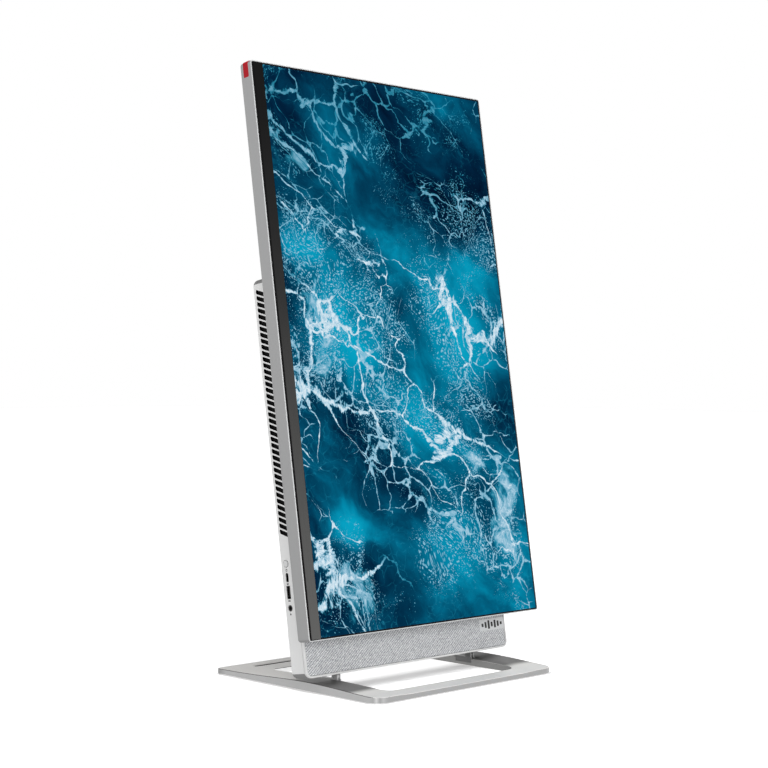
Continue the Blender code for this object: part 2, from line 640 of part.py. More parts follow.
def make_rear_ports(body):
    for name, (x, width, height) in REAR_PORTS.items():
        z = REAR_PORT_Z
        rim = 2 * REAR_PORT_WALL
        outer = rounded_rectangle(centred(x, width), centred(z, height), 0.0005, 3)
        inner = rounded_rectangle(centred(x, width - rim), centred(z, height - rim), 0.0003, 3)
        tongue = rounded_rectangle(centred(x, width * 0.6), centred(z, 0.0012), 0.0002, 3)
        solid(name, "steel", body, lambda mesh: add_loft(
            mesh, socket_loops(outer, inner, tongue, REAR_PORT_BACK,
                               REAR_PORT_BACK - REAR_PORT_FRONT, "Y", -1)))
    rim, hole, pin = POWER_INLET_RADIUS, POWER_INLET_RADIUS - 0.0015, 0.0011
    turned("power_inlet", "black_plastic", body, (POWER_INLET_X, REAR_PORT_Z),
           [(rim, REAR_PORT_FRONT), (rim, REAR_PORT_BACK), (hole, REAR_PORT_BACK), (hole, 0.0010),
            (pin, 0.0010), (pin, 0.0096)], ring=False, steps=24)


def make_speakers(body):
    for side, label in ((-1, "left"), (1, "right")):
        x_range = sorted((side * 0.040, side * 0.108))
        box = prism(f"speaker_{label}", "black_plastic", body,
                    rounded_rectangle(x_range, (0.013, 0.081), 0.004, 3), (-0.0092, 0.0095))
        centre = (side * 0.074, 0.047)
        cut(box, lambda mesh: add_turned(
            mesh, centre, [(0.027, -0.0100), (0.027, -0.0080), (0.010, -0.0045)], ring=False, steps=32))


# ---------------------------------------------------------------- display and its pivot

def make_pivot_fixed(body):
    """What stays with the body: fixed disc with the stop's groove, bearing and washer."""
    pivot = (PIVOT[0], PIVOT[2])
    stator = prism("rotation_stator", "dark_steel", body, circle(pivot, STATOR_RADIUS, 56),
                   (-0.0170, CHASSIS_Y[0] - GAP), holes=[circle(pivot, SHAFT_RADIUS + 0.0013, 32)])

    def groove(mesh):
        spare = math.asin((STOP_RADIUS + 0.0006) / STOP_ORBIT)
        start = STOP_START - spare
        end = STOP_START + STOP_TRAVEL + spare
        outer = arc(pivot, STOP_ORBIT + STOP_RADIUS + 0.0005, start, end, 18)
        inner = arc(pivot, STOP_ORBIT - STOP_RADIUS - 0.0005, end, start, 18)
        add_prism(mesh, outer + inner, (-0.0190, -0.0118))

    cut(stator, groove)
    turned("bearing_ring", "black_plastic", body, pivot, tube_profile(0.020, 0.036, (-0.0207, -0.0173)))
    turned("friction_washer", "dark_steel", body, pivot, tube_profile(0.0156, 0.0230, (-0.0079, -0.0071)))


def make_pivot_turning(display):
    """What turns with the display: hub plate, hollow shaft, retaining ring, stop pin and cable."""
    centre = (0.0, 0.0)
    plate_back, hub_back = 0.0103, 0.0250
    rotor = prism("rotor_plate", "dark_steel", display,
                  rounded_rectangle((-0.065, 0.065), (-0.065, 0.065), 0.008, 4), (0.0078, plate_back),
                  holes=[circle(centre, SHAFT_RADIUS + GAP, 32)])
    join(rotor, lambda mesh: add_turned(
        mesh, centre, tube_profile(SHAFT_RADIUS + GAP, HUB_RADIUS, (plate_back - 0.001, hub_back)), steps=56))
    turned("hollow_shaft", "steel", display, centre, tube_profile(SHAFT_BORE, SHAFT_RADIUS, (0.0075, 0.0415)),
           steps=32)
    turned("retaining_ring", "steel", display, centre,
           tube_profile(SHAFT_RADIUS + GAP, 0.0215, (0.0392, 0.0404)), steps=32)
    x, z = STOP_ORBIT * math.cos(STOP_START), STOP_ORBIT * math.sin(STOP_START)
    turned("stop_pin", "steel", display, (x, z), [(STOP_RADIUS, hub_back + GAP), (STOP_RADIUS, 0.0332)],
           ring=False, steps=12)
    turned("display_cable", "rubber", display, centre, [(0.0035, 0.0075), (0.0035, 0.0440)],
           ring=False, steps=12)


def display_outline(inset, radius=None):
    return rounded_rectangle((-DISPLAY_HALF_WIDTH + inset, DISPLAY_HALF_WIDTH - inset),
                             (-DISPLAY_HALF_HEIGHT + inset, DISPLAY_HALF_HEIGHT - inset),
                             radius or max(DISPLAY_CORNER_RADIUS - inset, 0.0005), 5)


def make_display(display):
    shell = solid("display_shell", "silver_plastic", display, lambda mesh: add_loft(mesh, tub_loops(
        display_outline, DISPLAY_INNER_RADIUS, 0.0, DISPLAY_DEPTH, DISPLAY_WALL, DISPLAY_BACK_ROUND, 4)))

    left = -DISPLAY_HALF_WIDTH

    def openings(mesh):
        hub_hole = circle((0, 0), HUB_RADIUS + 0.0005, 56)
        add_prism(mesh, hub_hole, (DISPLAY_DEPTH - 0.003, DISPLAY_DEPTH + 0.001))
        height = (TAB_Z[0] - GAP, TAB_Z[1] + GAP)
        recess = rounded_rectangle((left - 0.001, left + TAB_DEPTH), height, 0.0002, 1)
        add_prism(mesh, recess, (TAB_Y[0] - GAP, TAB_Y[1] + GAP))

    cut(shell, openings)
    height = (-PANEL_HALF_HEIGHT, PANEL_HALF_HEIGHT)
    prism("lcd_panel", "screen", display,
          rounded_rectangle(PANEL_X, height, PANEL_CORNER_RADIUS, 4, "left"), (0.0006, 0.0026))
    prism("chin_strip", "black_gloss", display,
          rounded_rectangle(CHIN_X, height, PANEL_CORNER_RADIUS, 4, "right"), (0.0004, 0.0030))
    for name, (x_range, y_range, z_range, finish) in DISPLAY_BLOCKS.items():
        block(name, finish, display, x_range, y_range, z_range)
    prism("display_chassis", "steel", display,
          rounded_rectangle((-0.172, 0.174), (-0.298, 0.298), 0.004, 3), (0.0058, 0.0070),
          holes=[circle((0, 0), 0.012, 24)]
          + [rounded_rectangle(centred(0.0, 0.120), centred(z, 0.050), 0.006, 3) for z in (-0.190, 0.190)])
    block("corner_tab", "red_plastic", display, (left, left + TAB_DEPTH - GAP / 2), TAB_Y, TAB_Z)


# ---------------------------------------------------------------- assembly

def make_materials():
    for name, (colour, roughness, metallic) in FINISHES.items():
        material = bpy.data.materials.new(name)
        material.use_nodes = True
        shader = material.node_tree.nodes["Principled BSDF"]
        shader.inputs["Base Color"].default_value = (*colour, 1.0)
        shader.inputs["Roughness"].default_value = roughness
        shader.inputs["Metallic"].default_value = metallic
        material.diffuse_color = (*colour, 1.0)


def axis_empty(name, parent, location, lean=0.0):
    """An empty on a joint's axis, which the joint's pieces are parented to."""
    empty = bpy.data.objects.new(name, None)
    empty.parent = parent
    empty.location = location
    empty.rotation_euler = (-lean, 0.0, 0.0)
    bpy.context.scene.collection.objects.link(empty)
    return empty


def main():
    for item in list(bpy.data.objects):
        bpy.data.objects.remove(item)
    make_materials()
    body = axis_empty("tilt_axis", None, TILT_AXIS, TILT_AT_REST)
    display = axis_empty("display_axis", body, PIVOT)
    fan = axis_empty("fan_axis", body, (FAN_CENTRE[0], 0.0, FAN_CENTRE[1]))
    button = axis_empty("button_axis", body, (-BODY_HALF_WIDTH - 0.0005, PORT_Y, BUTTON_Z))

    make_base_ring()
    make_feet()
    for side, label in ((-1, "left"), (1, "right")):
        make_hinge(side, label)
        make_hinge_arm(body, side, label)
    make_rear_cover(body)
    make_body_front(body)
    make_chassis(body)
    make_cooling(body, fan)
    for name, (x_range, y_range, z_range, finish) in BODY_BLOCKS.items():
        block(name, finish, body, x_range, y_range, z_range)
    make_side_ports(body, button)
    make_rear_ports(body)
    make_speakers(body)
    make_pivot_fixed(body)
    make_pivot_turning(display)
    make_display(display)


main()
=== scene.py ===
import json
import math

import bmesh
import bpy
from mathutils import Matrix, Vector

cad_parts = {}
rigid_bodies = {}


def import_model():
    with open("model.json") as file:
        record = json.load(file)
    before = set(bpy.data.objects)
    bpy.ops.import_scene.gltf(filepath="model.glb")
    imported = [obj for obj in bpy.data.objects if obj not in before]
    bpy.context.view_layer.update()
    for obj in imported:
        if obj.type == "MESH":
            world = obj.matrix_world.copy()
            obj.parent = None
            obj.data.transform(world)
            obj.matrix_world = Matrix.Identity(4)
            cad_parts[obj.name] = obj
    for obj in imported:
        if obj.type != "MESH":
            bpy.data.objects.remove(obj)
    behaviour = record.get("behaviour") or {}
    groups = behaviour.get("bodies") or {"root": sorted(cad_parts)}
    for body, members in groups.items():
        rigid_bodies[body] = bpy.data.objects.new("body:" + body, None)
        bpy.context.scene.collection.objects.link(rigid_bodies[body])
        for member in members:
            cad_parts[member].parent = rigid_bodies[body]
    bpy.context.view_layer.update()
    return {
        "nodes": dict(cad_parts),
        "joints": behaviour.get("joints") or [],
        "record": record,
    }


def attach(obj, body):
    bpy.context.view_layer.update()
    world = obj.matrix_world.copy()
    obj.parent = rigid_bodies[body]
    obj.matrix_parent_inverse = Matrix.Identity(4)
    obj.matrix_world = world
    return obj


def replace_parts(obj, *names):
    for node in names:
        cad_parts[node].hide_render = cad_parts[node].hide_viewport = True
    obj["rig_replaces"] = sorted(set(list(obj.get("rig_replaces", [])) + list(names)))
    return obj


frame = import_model()
JOINTS = {joint["name"]: joint for joint in frame["joints"]}

# The leaning frames: x right, y back, z up the body, with their origins on the joints
TURN_AXIS = JOINTS["display_rotation"]["axis"]
TURNED_BACK = Matrix.Rotation(-math.atan2(TURN_AXIS[2], -TURN_AXIS[1]), 4, "X")
BODY = Matrix.Translation(JOINTS["stand_tilt"]["pos_m"]) @ TURNED_BACK
DISPLAY = Matrix.Translation(JOINTS["display_rotation"]["pos_m"]) @ TURNED_BACK
FRAME_OF = {"stand": Matrix.Identity(4), "computer": BODY, "button": BODY, "display": DISPLAY}


def spans(node, body="computer"):
    """A CAD node's x, y and z ranges in its body's frame."""
    back = FRAME_OF[body].inverted()
    points = [back @ vertex.co for vertex in frame["nodes"][node].data.vertices]
    return [(min(values), max(values)) for values in zip(*points)]


def middle(span):
    return (span[0] + span[1]) / 2


def wider(span, by):
    return (span[0] - by, span[1] + by)


def centred(centre, size):
    return (centre - size / 2, centre + size / 2)


# ---------------- shader nodes

def add(kind, inputs, **settings):
    """Adds a shader node. At least one of its inputs is another node's socket, the rest are values."""
    tree = next(value.id_data for value in inputs.values() if isinstance(value, bpy.types.NodeSocket))
    node = tree.nodes.new("ShaderNode" + kind)
    for key, value in settings.items():
        setattr(node, key, value)
    for key, value in inputs.items():
        if isinstance(value, bpy.types.NodeSocket):
            tree.links.new(value, node.inputs[key])
        else:
            node.inputs[key].default_value = value
    return node


def new_material(name, **shader_values):
    """An empty procedural material, its shader and the piece's own coordinates."""
    material = bpy.data.materials.new(name)
    material.use_nodes = True
    nodes = material.node_tree.nodes
    shader = nodes["Principled BSDF"]
    for key, value in shader_values.items():
        shader.inputs[key.replace("_", " ").title().replace("Ior", "IOR")].default_value = value
    return material, shader, nodes.new("ShaderNodeTexCoord").outputs["Object"]


def feed(shader, **sockets):
    for key, socket in sockets.items():
        shader.id_data.links.new(socket, shader.inputs[key.replace("_", " ").title()])


def bump(shader, height, distance, strength=1.0):
    node = add("Bump", {"Height": height, "Distance": distance, "Strength": strength})
    feed(shader, normal=node.outputs["Normal"])


def noise(place, scale, detail=2.0, rough=0.5):
    return add("TexNoise", {"Vector": place, "Scale": scale, "Detail": detail, "Roughness": rough}).outputs["Fac"]


def cells(place, scale, **settings):
    """Distance from a cell's middle or, with a feature, something else of the cells."""
    return add("TexVoronoi", {"Vector": place, "Scale": scale}, **settings).outputs["Distance"]


def math_node(operation, a, b=0.0, clamp=False):
    return add("Math", {0: a, 1: b}, operation=operation, use_clamp=clamp).outputs[0]


def times(a, b, clamp=False):
    return math_node("MULTIPLY", a, b, clamp)


def plus(a, b):
    return math_node("ADD", a, b)


def minus(a, b):
    return math_node("SUBTRACT", a, b)


def unsigned(a):
    return math_node("ABSOLUTE", a)


def largest(values):
    total = values[0]
    for value in values[1:]:
        total = math_node("MAXIMUM", total, value)
    return total


def vector_node(operation, a, b=(0.0, 0.0, 0.0), scale=1.0, output=0):
    return add("VectorMath", {0: a, 1: b, 3: scale}, operation=operation).outputs[output]


def part(vector, axis):
    return add("SeparateXYZ", {"Vector": vector}).outputs[axis]


def remap(value, low, high, to_low=0.0, to_high=1.0, smooth=False):
    return add("MapRange", {"Value": value, "From Min": low, "From Max": high, "To Min": to_low, "To Max": to_high},
               interpolation_type="SMOOTHSTEP" if smooth else "LINEAR").outputs["Result"]


def ramp(value, stops):
    """A colour ramp from a list of (position, colour). A number for a colour is a grey."""
    node = add("ValToRGB", {"Fac": value})
    elements = node.color_ramp.elements
    for i, (position, colour) in enumerate(stops):
        element = elements[i] if i < 2 else elements.new(position)
        element.position = position
        element.color = (*colour, 1.0) if isinstance(colour, tuple) else (colour, colour, colour, 1.0)
    return node.outputs["Color"]


def blend_colours(share, a, b, kind="MIX"):
    """Mixes two colours. The share and the colours are values or sockets."""
    a, b = ((*colour, 1.0) if isinstance(colour, tuple) else colour for colour in (a, b))
    return add("Mix", {0: share, 6: a, 7: b}, data_type="RGBA", blend_type=kind).outputs[2]


# ---------------- materials

MICRON = 0.000001
# Each plain finish: colour, roughness, metallic, grain, grain's depth in microns, variation, other shader values
PLAIN_FINISHES = {
    "satin_aluminium": ((0.60, 0.61, 0.62), 0.34, 1.0, 2600, 10),
    "silver_paint": ((0.36, 0.362, 0.364), 0.42, 0.35, 4200, 6),
    # A lighter silver: a painted reflection on the display's front lip, and the plain pale colour of the left hinge
    "lip_paint": ((0.62, 0.625, 0.63), 0.35, 0.35, 4200, 4),
    "pale_plastic": ((0.77, 0.772, 0.770), 0.50, 0.0, 3000, 12, 0.02),
    "black_plastic": ((0.018, 0.018, 0.019), 0.5, 0.0, 3000, 10, 0.15),
    "border_black": ((0.004, 0.004, 0.0042), 0.6, 0.0, 3000, 4, 0.15, {"specular_ior_level": 0.1}),
    # The next four finishes are painted light and shade: darker faces at the rear cover's top and bottom, a painted
    # dark reflection on the stand's outer bevels with painted shade in its groove, painted shade on the window's
    # side walls, and a painted glow of light on the window's rear wall
    "shaded_plastic": ((0.24, 0.24, 0.24), 0.50, 0.0, 3000, 12, 0.02),
    "stand_edge": ((0.05, 0.05, 0.05), 0.45, 0.6, 2600, 10),
    "stand_inside": ((0.30, 0.30, 0.295), 0.45, 0.5, 2600, 10),
    "stand_pale": ((0.90, 0.90, 0.89), 0.5, 0.0, 2600, 10, 0.02, {"emission_strength": 0.35}),
    "button_paint": ((0.68, 0.685, 0.685), 0.45, 0.0, 3000, 6, 0.02),
    "bracket_metal": ((0.50, 0.50, 0.495), 0.42, 0.6, 2600, 10),
    "hinge_grey": ((0.16, 0.16, 0.16), 0.6, 0.2, 2200, 10, 0.1),
    "rubber": ((0.022, 0.022, 0.023), 0.82, 0.0, 1800, 20, 0.2),
    "bright_steel": ((0.55, 0.56, 0.57), 0.30, 1.0, 1500, 6, 0.08),
    "dark_steel": ((0.075, 0.076, 0.08), 0.45, 0.7, 2200, 10, 0.12),
    "chip": ((0.22, 0.23, 0.24), 0.45, 0.0, 2500, 6, 0.08),
    "copper": ((0.70, 0.33, 0.19), 0.32, 1.0, 900, 8, 0.10),
    "diffuser": ((0.82, 0.84, 0.86), 0.5, 0.0, 1500, 10, 0.03),
    "red_plastic": ((0.37, 0.005, 0.012), 0.45, 0.0, 3000, 4, 0.05, {"specular_ior_level": 0.15}),
    "label": ((0.69, 0.70, 0.71), 0.45, 0.2, 3500, 6, 0.02),
    "ink": ((0.012, 0.012, 0.013), 0.45, 0.0, 3500, 4, 0.1),
    "grey_ink": ((0.05, 0.05, 0.052), 0.5, 0.0, 3500, 4, 0.1),
    "gold": ((0.80, 0.56, 0.22), 0.25, 1.0, 1500, 4, 0.06),
}
METAL_GRAIN = 2600
METAL_STOPS = [(0.3, (0.85, 0.835, 0.81)), (0.7, (0.91, 0.895, 0.87))]
BAR_SHADE_Y = -0.046  # middle of the painted shade on the side bars, under the computer
BAR_SHADE = (0.08, 0.08, 0.08)
# Painted light and shade on the stand's outer walls, by how far each face turns to the side
SIDE_PAINTED_LIGHT = [(0.0, 0.40), (0.35, 0.50), (0.55, 0.36), (0.72, 0.64), (0.85, 0.40), (1.0, 0.51)]
# The chin's dark colour, with a painted reflection that lightens it towards one end
CHIN_TONE_AND_REFLECTION = [(0.0, (0.096, 0.096, 0.094)), (0.35, (0.050, 0.050, 0.049)), (0.6, 0.0215), (0.7, 0.0148),
              (0.9, 0.0072), (1.0, 0.0067)]
CHIN_REACH = 0.30  # the painted reflection lightens the strip from this far above its middle to this far below
CLOTH_PITCH = (0.0040, 0.0030)  # from one diagonal rib of the cloth to the next: across, and up
CLOTH_PALE = ((0.93, 0.935, 0.94), (0.60, 0.61, 0.63))
CLOTH_DEEP = ((0.40, 0.41, 0.435), (0.17, 0.18, 0.21))


def speckled_surface(name, colour, roughness, metallic, grain, depth, variation=0.04, extra=None):
    """A moulded, painted or blasted surface: fine grain, soft blotches and uneven gloss."""
    material, shader, place = new_material(name, metallic=metallic, **(extra or {}))
    fine = noise(place, grain, 3.0, 0.6)
    broad = noise(place, 9.0, 3.0, 0.5)
    dark = tuple(c * (1 - variation) for c in colour)
    light = tuple(min(1.0, c * (1 + variation)) for c in colour)
    feed(shader, base_color=ramp(plus(times(fine, 0.6), times(broad, 0.4)), [(0.3, dark), (0.7, light)]),
         roughness=remap(broad, 0.2, 0.8, roughness - 0.05, roughness + 0.05))
    bump(shader, fine, depth * MICRON)
    return material


def make_stand_metal():
    """Blasted aluminium, soft enough to catch light from all round, with painted shade on the side bars where the
    computer overhangs them.
    """
    material, shader, place = new_material("stand_metal", metallic=0.42, specular_ior_level=0.3)
    grain = noise(place, METAL_GRAIN, 3.0, 0.6)
    # Painted shade: the side bars' upward faces darken towards BAR_SHADE around BAR_SHADE_Y.
    on_side_bar = remap(unsigned(part(place, "X")), 0.085, 0.105, smooth=True)
    along = unsigned(minus(part(place, "Y"), BAR_SHADE_Y))
    shade = times(on_side_bar, remap(along, 0.036, 0.052, 1.0, 0.0, smooth=True))
    shade = times(shade, remap(part(place.node.outputs["Normal"], "Z"), 0.6, 0.95))
    feed(shader, base_color=blend_colours(times(shade, 0.90), ramp(grain, METAL_STOPS), BAR_SHADE),
         roughness=remap(noise(place, 9.0, 3.0), 0.2, 0.8, 0.36, 0.44))
    bump(shader, grain, 10 * MICRON)
    return material


def make_stand_side():
    """The stand's machined outer edge, with painted light and shade: its brightness changes as it turns a corner,
    and it darkens towards the rear.
    """
    material, shader, place = new_material("stand_side", metallic=0.3, specular_ior_level=0.3)
    grain = noise(place, METAL_GRAIN, 3.0, 0.6)
    # Painted light and shade by the way each face turns, then painted shade towards the rear corners, mixed with
    # the grain.
    shade = ramp(unsigned(part(place.node.outputs["Normal"], "X")), SIDE_PAINTED_LIGHT)
    rear = remap(part(place, "Y"), 0.108, 0.1265, 1.0, 0.5)
    grain_and_rear_shade = times(rear, remap(grain, 0.3, 0.7, 0.97, 1.03))
    feed(shader, base_color=vector_node("SCALE", shade, scale=grain_and_rear_shade), roughness=remap(grain, 0.2, 0.8, 0.40, 0.48))
    bump(shader, grain, 10 * MICRON)
    return material


def make_circuit_board():
    """Green solder mask with copper tracks under it and rows of small pads."""
    material, shader, place = new_material("circuit_board", roughness=0.35, metallic=0.0)
    tracks = add("TexBrick", {"Vector": place, "Scale": 160.0, "Mortar Size": 0.03, "Mortar": (0.03, 0.20, 0.09, 1),
                              "Color1": (0.012, 0.10, 0.045, 1), "Color2": (0.016, 0.125, 0.055, 1)})
    pads = add("TexVoronoi", {"Vector": place, "Scale": 420.0, "Randomness": 0.3}).outputs["Distance"]
    feed(shader, base_color=blend_colours(remap(pads, 0.16, 0.12), tracks.outputs["Color"], (0.62, 0.60, 0.50)))
    bump(shader, pads, 50 * MICRON, 0.4)
    return material


def make_chin_gloss():
    """Dark glossy strip, slightly mottled, with hair-fine polishing marks. A painted reflection lightens it towards
    one end.
    """
    material, shader, place = new_material("chin_gloss", metallic=0.0, specular_ior_level=0.05)
    marks = noise(add("Mapping", {"Vector": place, "Scale": (900, 900, 30)}).outputs[0], 1.0, 3.0)
    # Painted reflection: the base colour lightens along the strip's height.
    base = ramp(remap(part(place, "Z"), -CHIN_REACH, CHIN_REACH), CHIN_TONE_AND_REFLECTION)
    feed(shader, base_color=blend_colours(1.0, base, ramp(marks, [(0.3, 0.93), (0.7, 1.0)]), "MULTIPLY"),
         roughness=remap(marks, 0.3, 0.7, 0.13, 0.20))
    bump(shader, marks, 2 * MICRON)
    return material


def make_speaker_cloth():
    """A twill of pale and blue-grey yarns: diagonal ribs, crossing yarns and melange flecks."""
    material, shader, place = new_material("speaker_cloth", roughness=0.9, sheen_weight=0.15, sheen_roughness=0.5)
    x = math_node("DIVIDE", part(place, "X"), CLOTH_PITCH[0])
    z = math_node("DIVIDE", part(place, "Z"), CLOTH_PITCH[1])
    wobble = times(minus(noise(place, 320, 3.0), 0.5), 0.9)

    def wave(turns):
        return remap(math_node("SINE", times(plus(turns, wobble), 2 * math.pi)), -1, 1)

    ribs = wave(minus(x, z))
    yarns = wave(times(plus(x, z), 1.3))
    weave = times(remap(ribs, 0, 1, 0.12, 1.0), remap(yarns, 0, 1, 0.35, 1.0))
    speckle = add("TexVoronoi", {"Vector": place, "Scale": 800.0}).outputs["Color"]
    fleck = math_node("POWER", add("SeparateColor", {"Color": speckle}).outputs["Red"], 1.6)
    deep, pale = (blend_colours(fleck, *colours) for colours in (CLOTH_DEEP, CLOTH_PALE))
    cloth = blend_colours(remap(weave, 0.05, 0.62), deep, pale)
    blotches = remap(noise(place, 120, 3.0, 0.6), 0.35, 0.7, 0.0, 0.16)
    feed(shader, base_color=blend_colours(blotches, cloth, CLOTH_DEEP[0]))
    bump(shader, plus(weave, times(fleck, 0.3)), 200 * MICRON, 0.8)
    return material


# ---------------- the picture on the screen

SEA_DEPTH = 3.6  # where the pattern is cut
SEA_SLANT = math.radians(50)  # turns the streaks, which fall to the right, upright
# Soft patches on the screen: x, z and size, in metres from its middle
BRIGHT_WATER = ((-0.06, 0.03, 0.10), (0.07, -0.01, 0.10), (0.02, -0.07, 0.09), (0.13, 0.09, 0.05),
                (-0.13, 0.10, 0.04), (0.04, -0.22, 0.05), (-0.10, -0.19, 0.03))
DARK_WATER = ((-0.11, 0.26, 0.08), (-0.02, 0.19, 0.09), (0.12, 0.18, 0.08), (-0.12, -0.12, 0.08),
              (0.16, -0.06, 0.05), (0.02, 0.27, 0.06))
FOAM_PATCHES = ((-0.115, 0.045, 0.040), (-0.11, -0.005, 0.035), (0.065, -0.085, 0.030), (0.085, -0.125, 0.030),
                (0.045, -0.045, 0.025), (0.140, -0.160, 0.035), (0.13, -0.20, 0.030), (-0.09, -0.25, 0.045),
                (-0.05, -0.27, 0.035), (-0.13, 0.20, 0.018))
WATER_STOPS = [(0.28, (0.0003, 0.004, 0.017)), (0.39, (0.0004, 0.016, 0.046)), (0.49, (0.0005, 0.050, 0.106)),
               (0.58, (0.0006, 0.112, 0.206)), (0.68, (0.0008, 0.232, 0.380)), (0.81, (0.002, 0.345, 0.525))]
FOAM_STOPS = [(0.0, (0.003, 0.23, 0.37)), (0.40, (0.035, 0.39, 0.57)), (0.75, (0.33, 0.55, 0.69)),
              (1.0, (0.74, 0.84, 0.90))]
SPECKS = ((300.0, 0.34), (520.0, 0.38))  # how close they lie, and their size among it


def warped(vector, scale, amount):
    """The coordinates pushed about by noise."""
    push = add("TexNoise", {"Vector": vector, "Scale": scale, "Detail": 3.0}).outputs["Color"]
    even = vector_node("SUBTRACT", push, (0.5, 0.5, 0.5))
    return vector_node("ADD", vector, vector_node("SCALE", even, scale=amount))


def drawn_out(vector, stretch):
    """Turned in the screen's plane and stretched, so that a pattern runs along one diagonal."""
    upright = add("VectorRotate", {"Vector": vector, "Angle": SEA_SLANT}, rotation_type="Y_AXIS").outputs[0]
    return vector_node("MULTIPLY", upright, (1.0, 1.0, stretch))


def soft_patches(vector, patches):
    """Soft round patches of 1: (x, z, size) in the screen's plane."""
    return largest([remap(vector_node("DISTANCE", vector, (x, SEA_DEPTH, z), output="Value"),
                          0.1 * size, 1.4 * size, 1.0, 0.0, smooth=True) for x, z, size in patches])


def foam_net(vector, scale, mask, roughening, thin, thick):
    """A net of foam: thin along its lines, thick where they meet, ragged, and gone where the mask is 0."""
    width = remap(cells(vector, scale), 0.45, 0.85, thin, thick, smooth=True)
    edge = cells(vector, scale, feature="DISTANCE_TO_EDGE")
    closeness = plus(math_node("DIVIDE", edge, plus(times(width, mask), 0.001)), roughening)
    return times(remap(closeness, 1.05, 0.25, smooth=True), remap(mask, 0.0, 0.3))


def foam_nets(place, ragged, fine):
    slanted_sea = drawn_out(ragged, 0.62)
    roughening = remap(noise(fine, 150.0, 7.0, 0.72), 0.25, 0.75, -1.3, 1.3)
    strong = remap(noise(slanted_sea, 8.0, 3.0), 0.46, 0.61)
    middling = remap(noise(slanted_sea, 13.0, 4.0), 0.46, 0.60)
    faint = remap(noise(place, 15.0, 5.0), 0.44, 0.60)
    return [foam_net(slanted_sea, 18.0, strong, roughening, 0.018, 0.085),
            times(foam_net(drawn_out(ragged, 0.75), 42.0, middling, roughening, 0.030, 0.10), 0.80),
            times(foam_net(fine, 92.0, faint, roughening, 0.05, 0.11), 0.22)]


def foam_mass(ragged):
    """Cloudy foam with holes in it, most of it in the patches."""
    holes = remap(cells(ragged, 48.0), 0.15, 0.45, 0.10, 0.0, smooth=True)
    clouds = minus(noise(drawn_out(ragged, 0.62), 13.0, 12.0, 0.66), holes)
    return plus(clouds, times(soft_patches(ragged, FOAM_PATCHES), 0.21))


def foam_specks(ragged, fine, lit_water, mass):
    """Specks of two sizes, thickest in bright water and round the foam."""
    zone = plus(noise(ragged, 16.0, 4.0, 0.6), times(lit_water, 0.16))
    zone = remap(plus(zone, remap(mass, 0.42, 0.62, 0.0, 0.16)), 0.52, 0.74)
    specks = []
    for scale, radius in SPECKS:
        inside = minus(times(zone, radius), cells(drawn_out(fine, 0.75), scale))
        specks.append(times(remap(inside, -0.04, 0.10, 0.0, 0.75), remap(zone, 0.0, 0.12)))
    return specks


def make_sea_foam(place, ragged, fine, lit_water):
    """How much foam there is at each place: nets, broken patches and specks, fainter towards the top."""
    mass = foam_mass(ragged)
    patches = remap(mass, 0.605, 0.75, 0.0, 0.84, smooth=True)
    haze = remap(mass, 0.54, 0.70, 0.0, 0.14, smooth=True)
    foam = largest(foam_nets(place, ragged, fine) + foam_specks(ragged, fine, lit_water, mass) + [patches, haze])
    grain = remap(noise(fine, 260.0, 6.0, 0.75), 0.3, 0.7, 0.62, 1.15)
    return times(foam, times(grain, remap(part(place, "Z"), 0.08, 0.26, 1.0, 0.62)), clamp=True)


def make_screen_picture():
    """The lit picture: a sea seen from above, dark pools under nets, patches and specks of foam."""
    material, shader, place = new_material("screen_picture", roughness=0.45, metallic=0.0, specular_ior_level=0.0,
                                           emission_strength=1.0)
    place = vector_node("ADD", place, (0.0, SEA_DEPTH, 0.0))
    swirled = warped(warped(place, 6.0, 0.085), 20.0, 0.034)
    ragged = warped(swirled, 55.0, 0.0090)
    fine = warped(ragged, 200.0, 0.0024)
    lit_water = soft_patches(swirled, BRIGHT_WATER)
    level = plus(noise(drawn_out(swirled, 0.5), 9.0, 4.0, 0.55), times(lit_water, 0.20))
    level = minus(level, times(soft_patches(swirled, DARK_WATER), 0.11))
    ripple = noise(drawn_out(fine, 0.6), 90.0, 5.0, 0.65)
    level = plus(level, remap(ripple, 0.25, 0.75, -0.04, 0.04))
    foam = make_sea_foam(place, ragged, fine, lit_water)
    picture = blend_colours(remap(foam, 0.08, 0.75), ramp(level, WATER_STOPS), ramp(foam, FOAM_STOPS))
    feed(shader, emission_color=picture, base_color=blend_colours(0.03, (0.0, 0.0, 0.0), picture))
    bump(shader, noise(place, 5000.0, 1.0), 2 * MICRON)
    return material


# ---------------- outlines: functions of how much they grow

def arc(centre, radius, start, end, steps):
    angles = [start + (end - start) * i / steps for i in range(steps + 1)]
    return [(centre[0] + radius * math.cos(t), centre[1] + radius * math.sin(t)) for t in angles]


def rectangle(a_range, b_range, radius, steps=8, square=None):
    """A rectangle with round corners, anticlockwise. The corners on its square side stay sharp.

    A radius for each corner is given from the lower right on.
    """
    def outline(grow=0.0):
        (a0, a1), (b0, b1) = wider(a_range, grow), wider(b_range, grow)
        points = []
        for quarter, (a, b) in enumerate(((a1, b0), (a1, b1), (a0, b1), (a0, b0))):
            sharp = square == ("right" if a == a1 else "left")
            own = radius[quarter] if isinstance(radius, tuple) else radius
            r = 0.00002 if sharp else max(own + grow, 0.00005)
            centre = (a - math.copysign(r, a - (a0 + a1) / 2), b - math.copysign(r, b - (b0 + b1) / 2))
            start = (quarter - 1) * math.pi / 2
            points += arc(centre, r, start, start + math.pi / 2, steps)
        return points
    return outline


def disc(centre, radius, steps=64):
    return lambda grow=0.0: arc(centre, radius + grow, 0, 2 * math.pi, steps)[:-1]


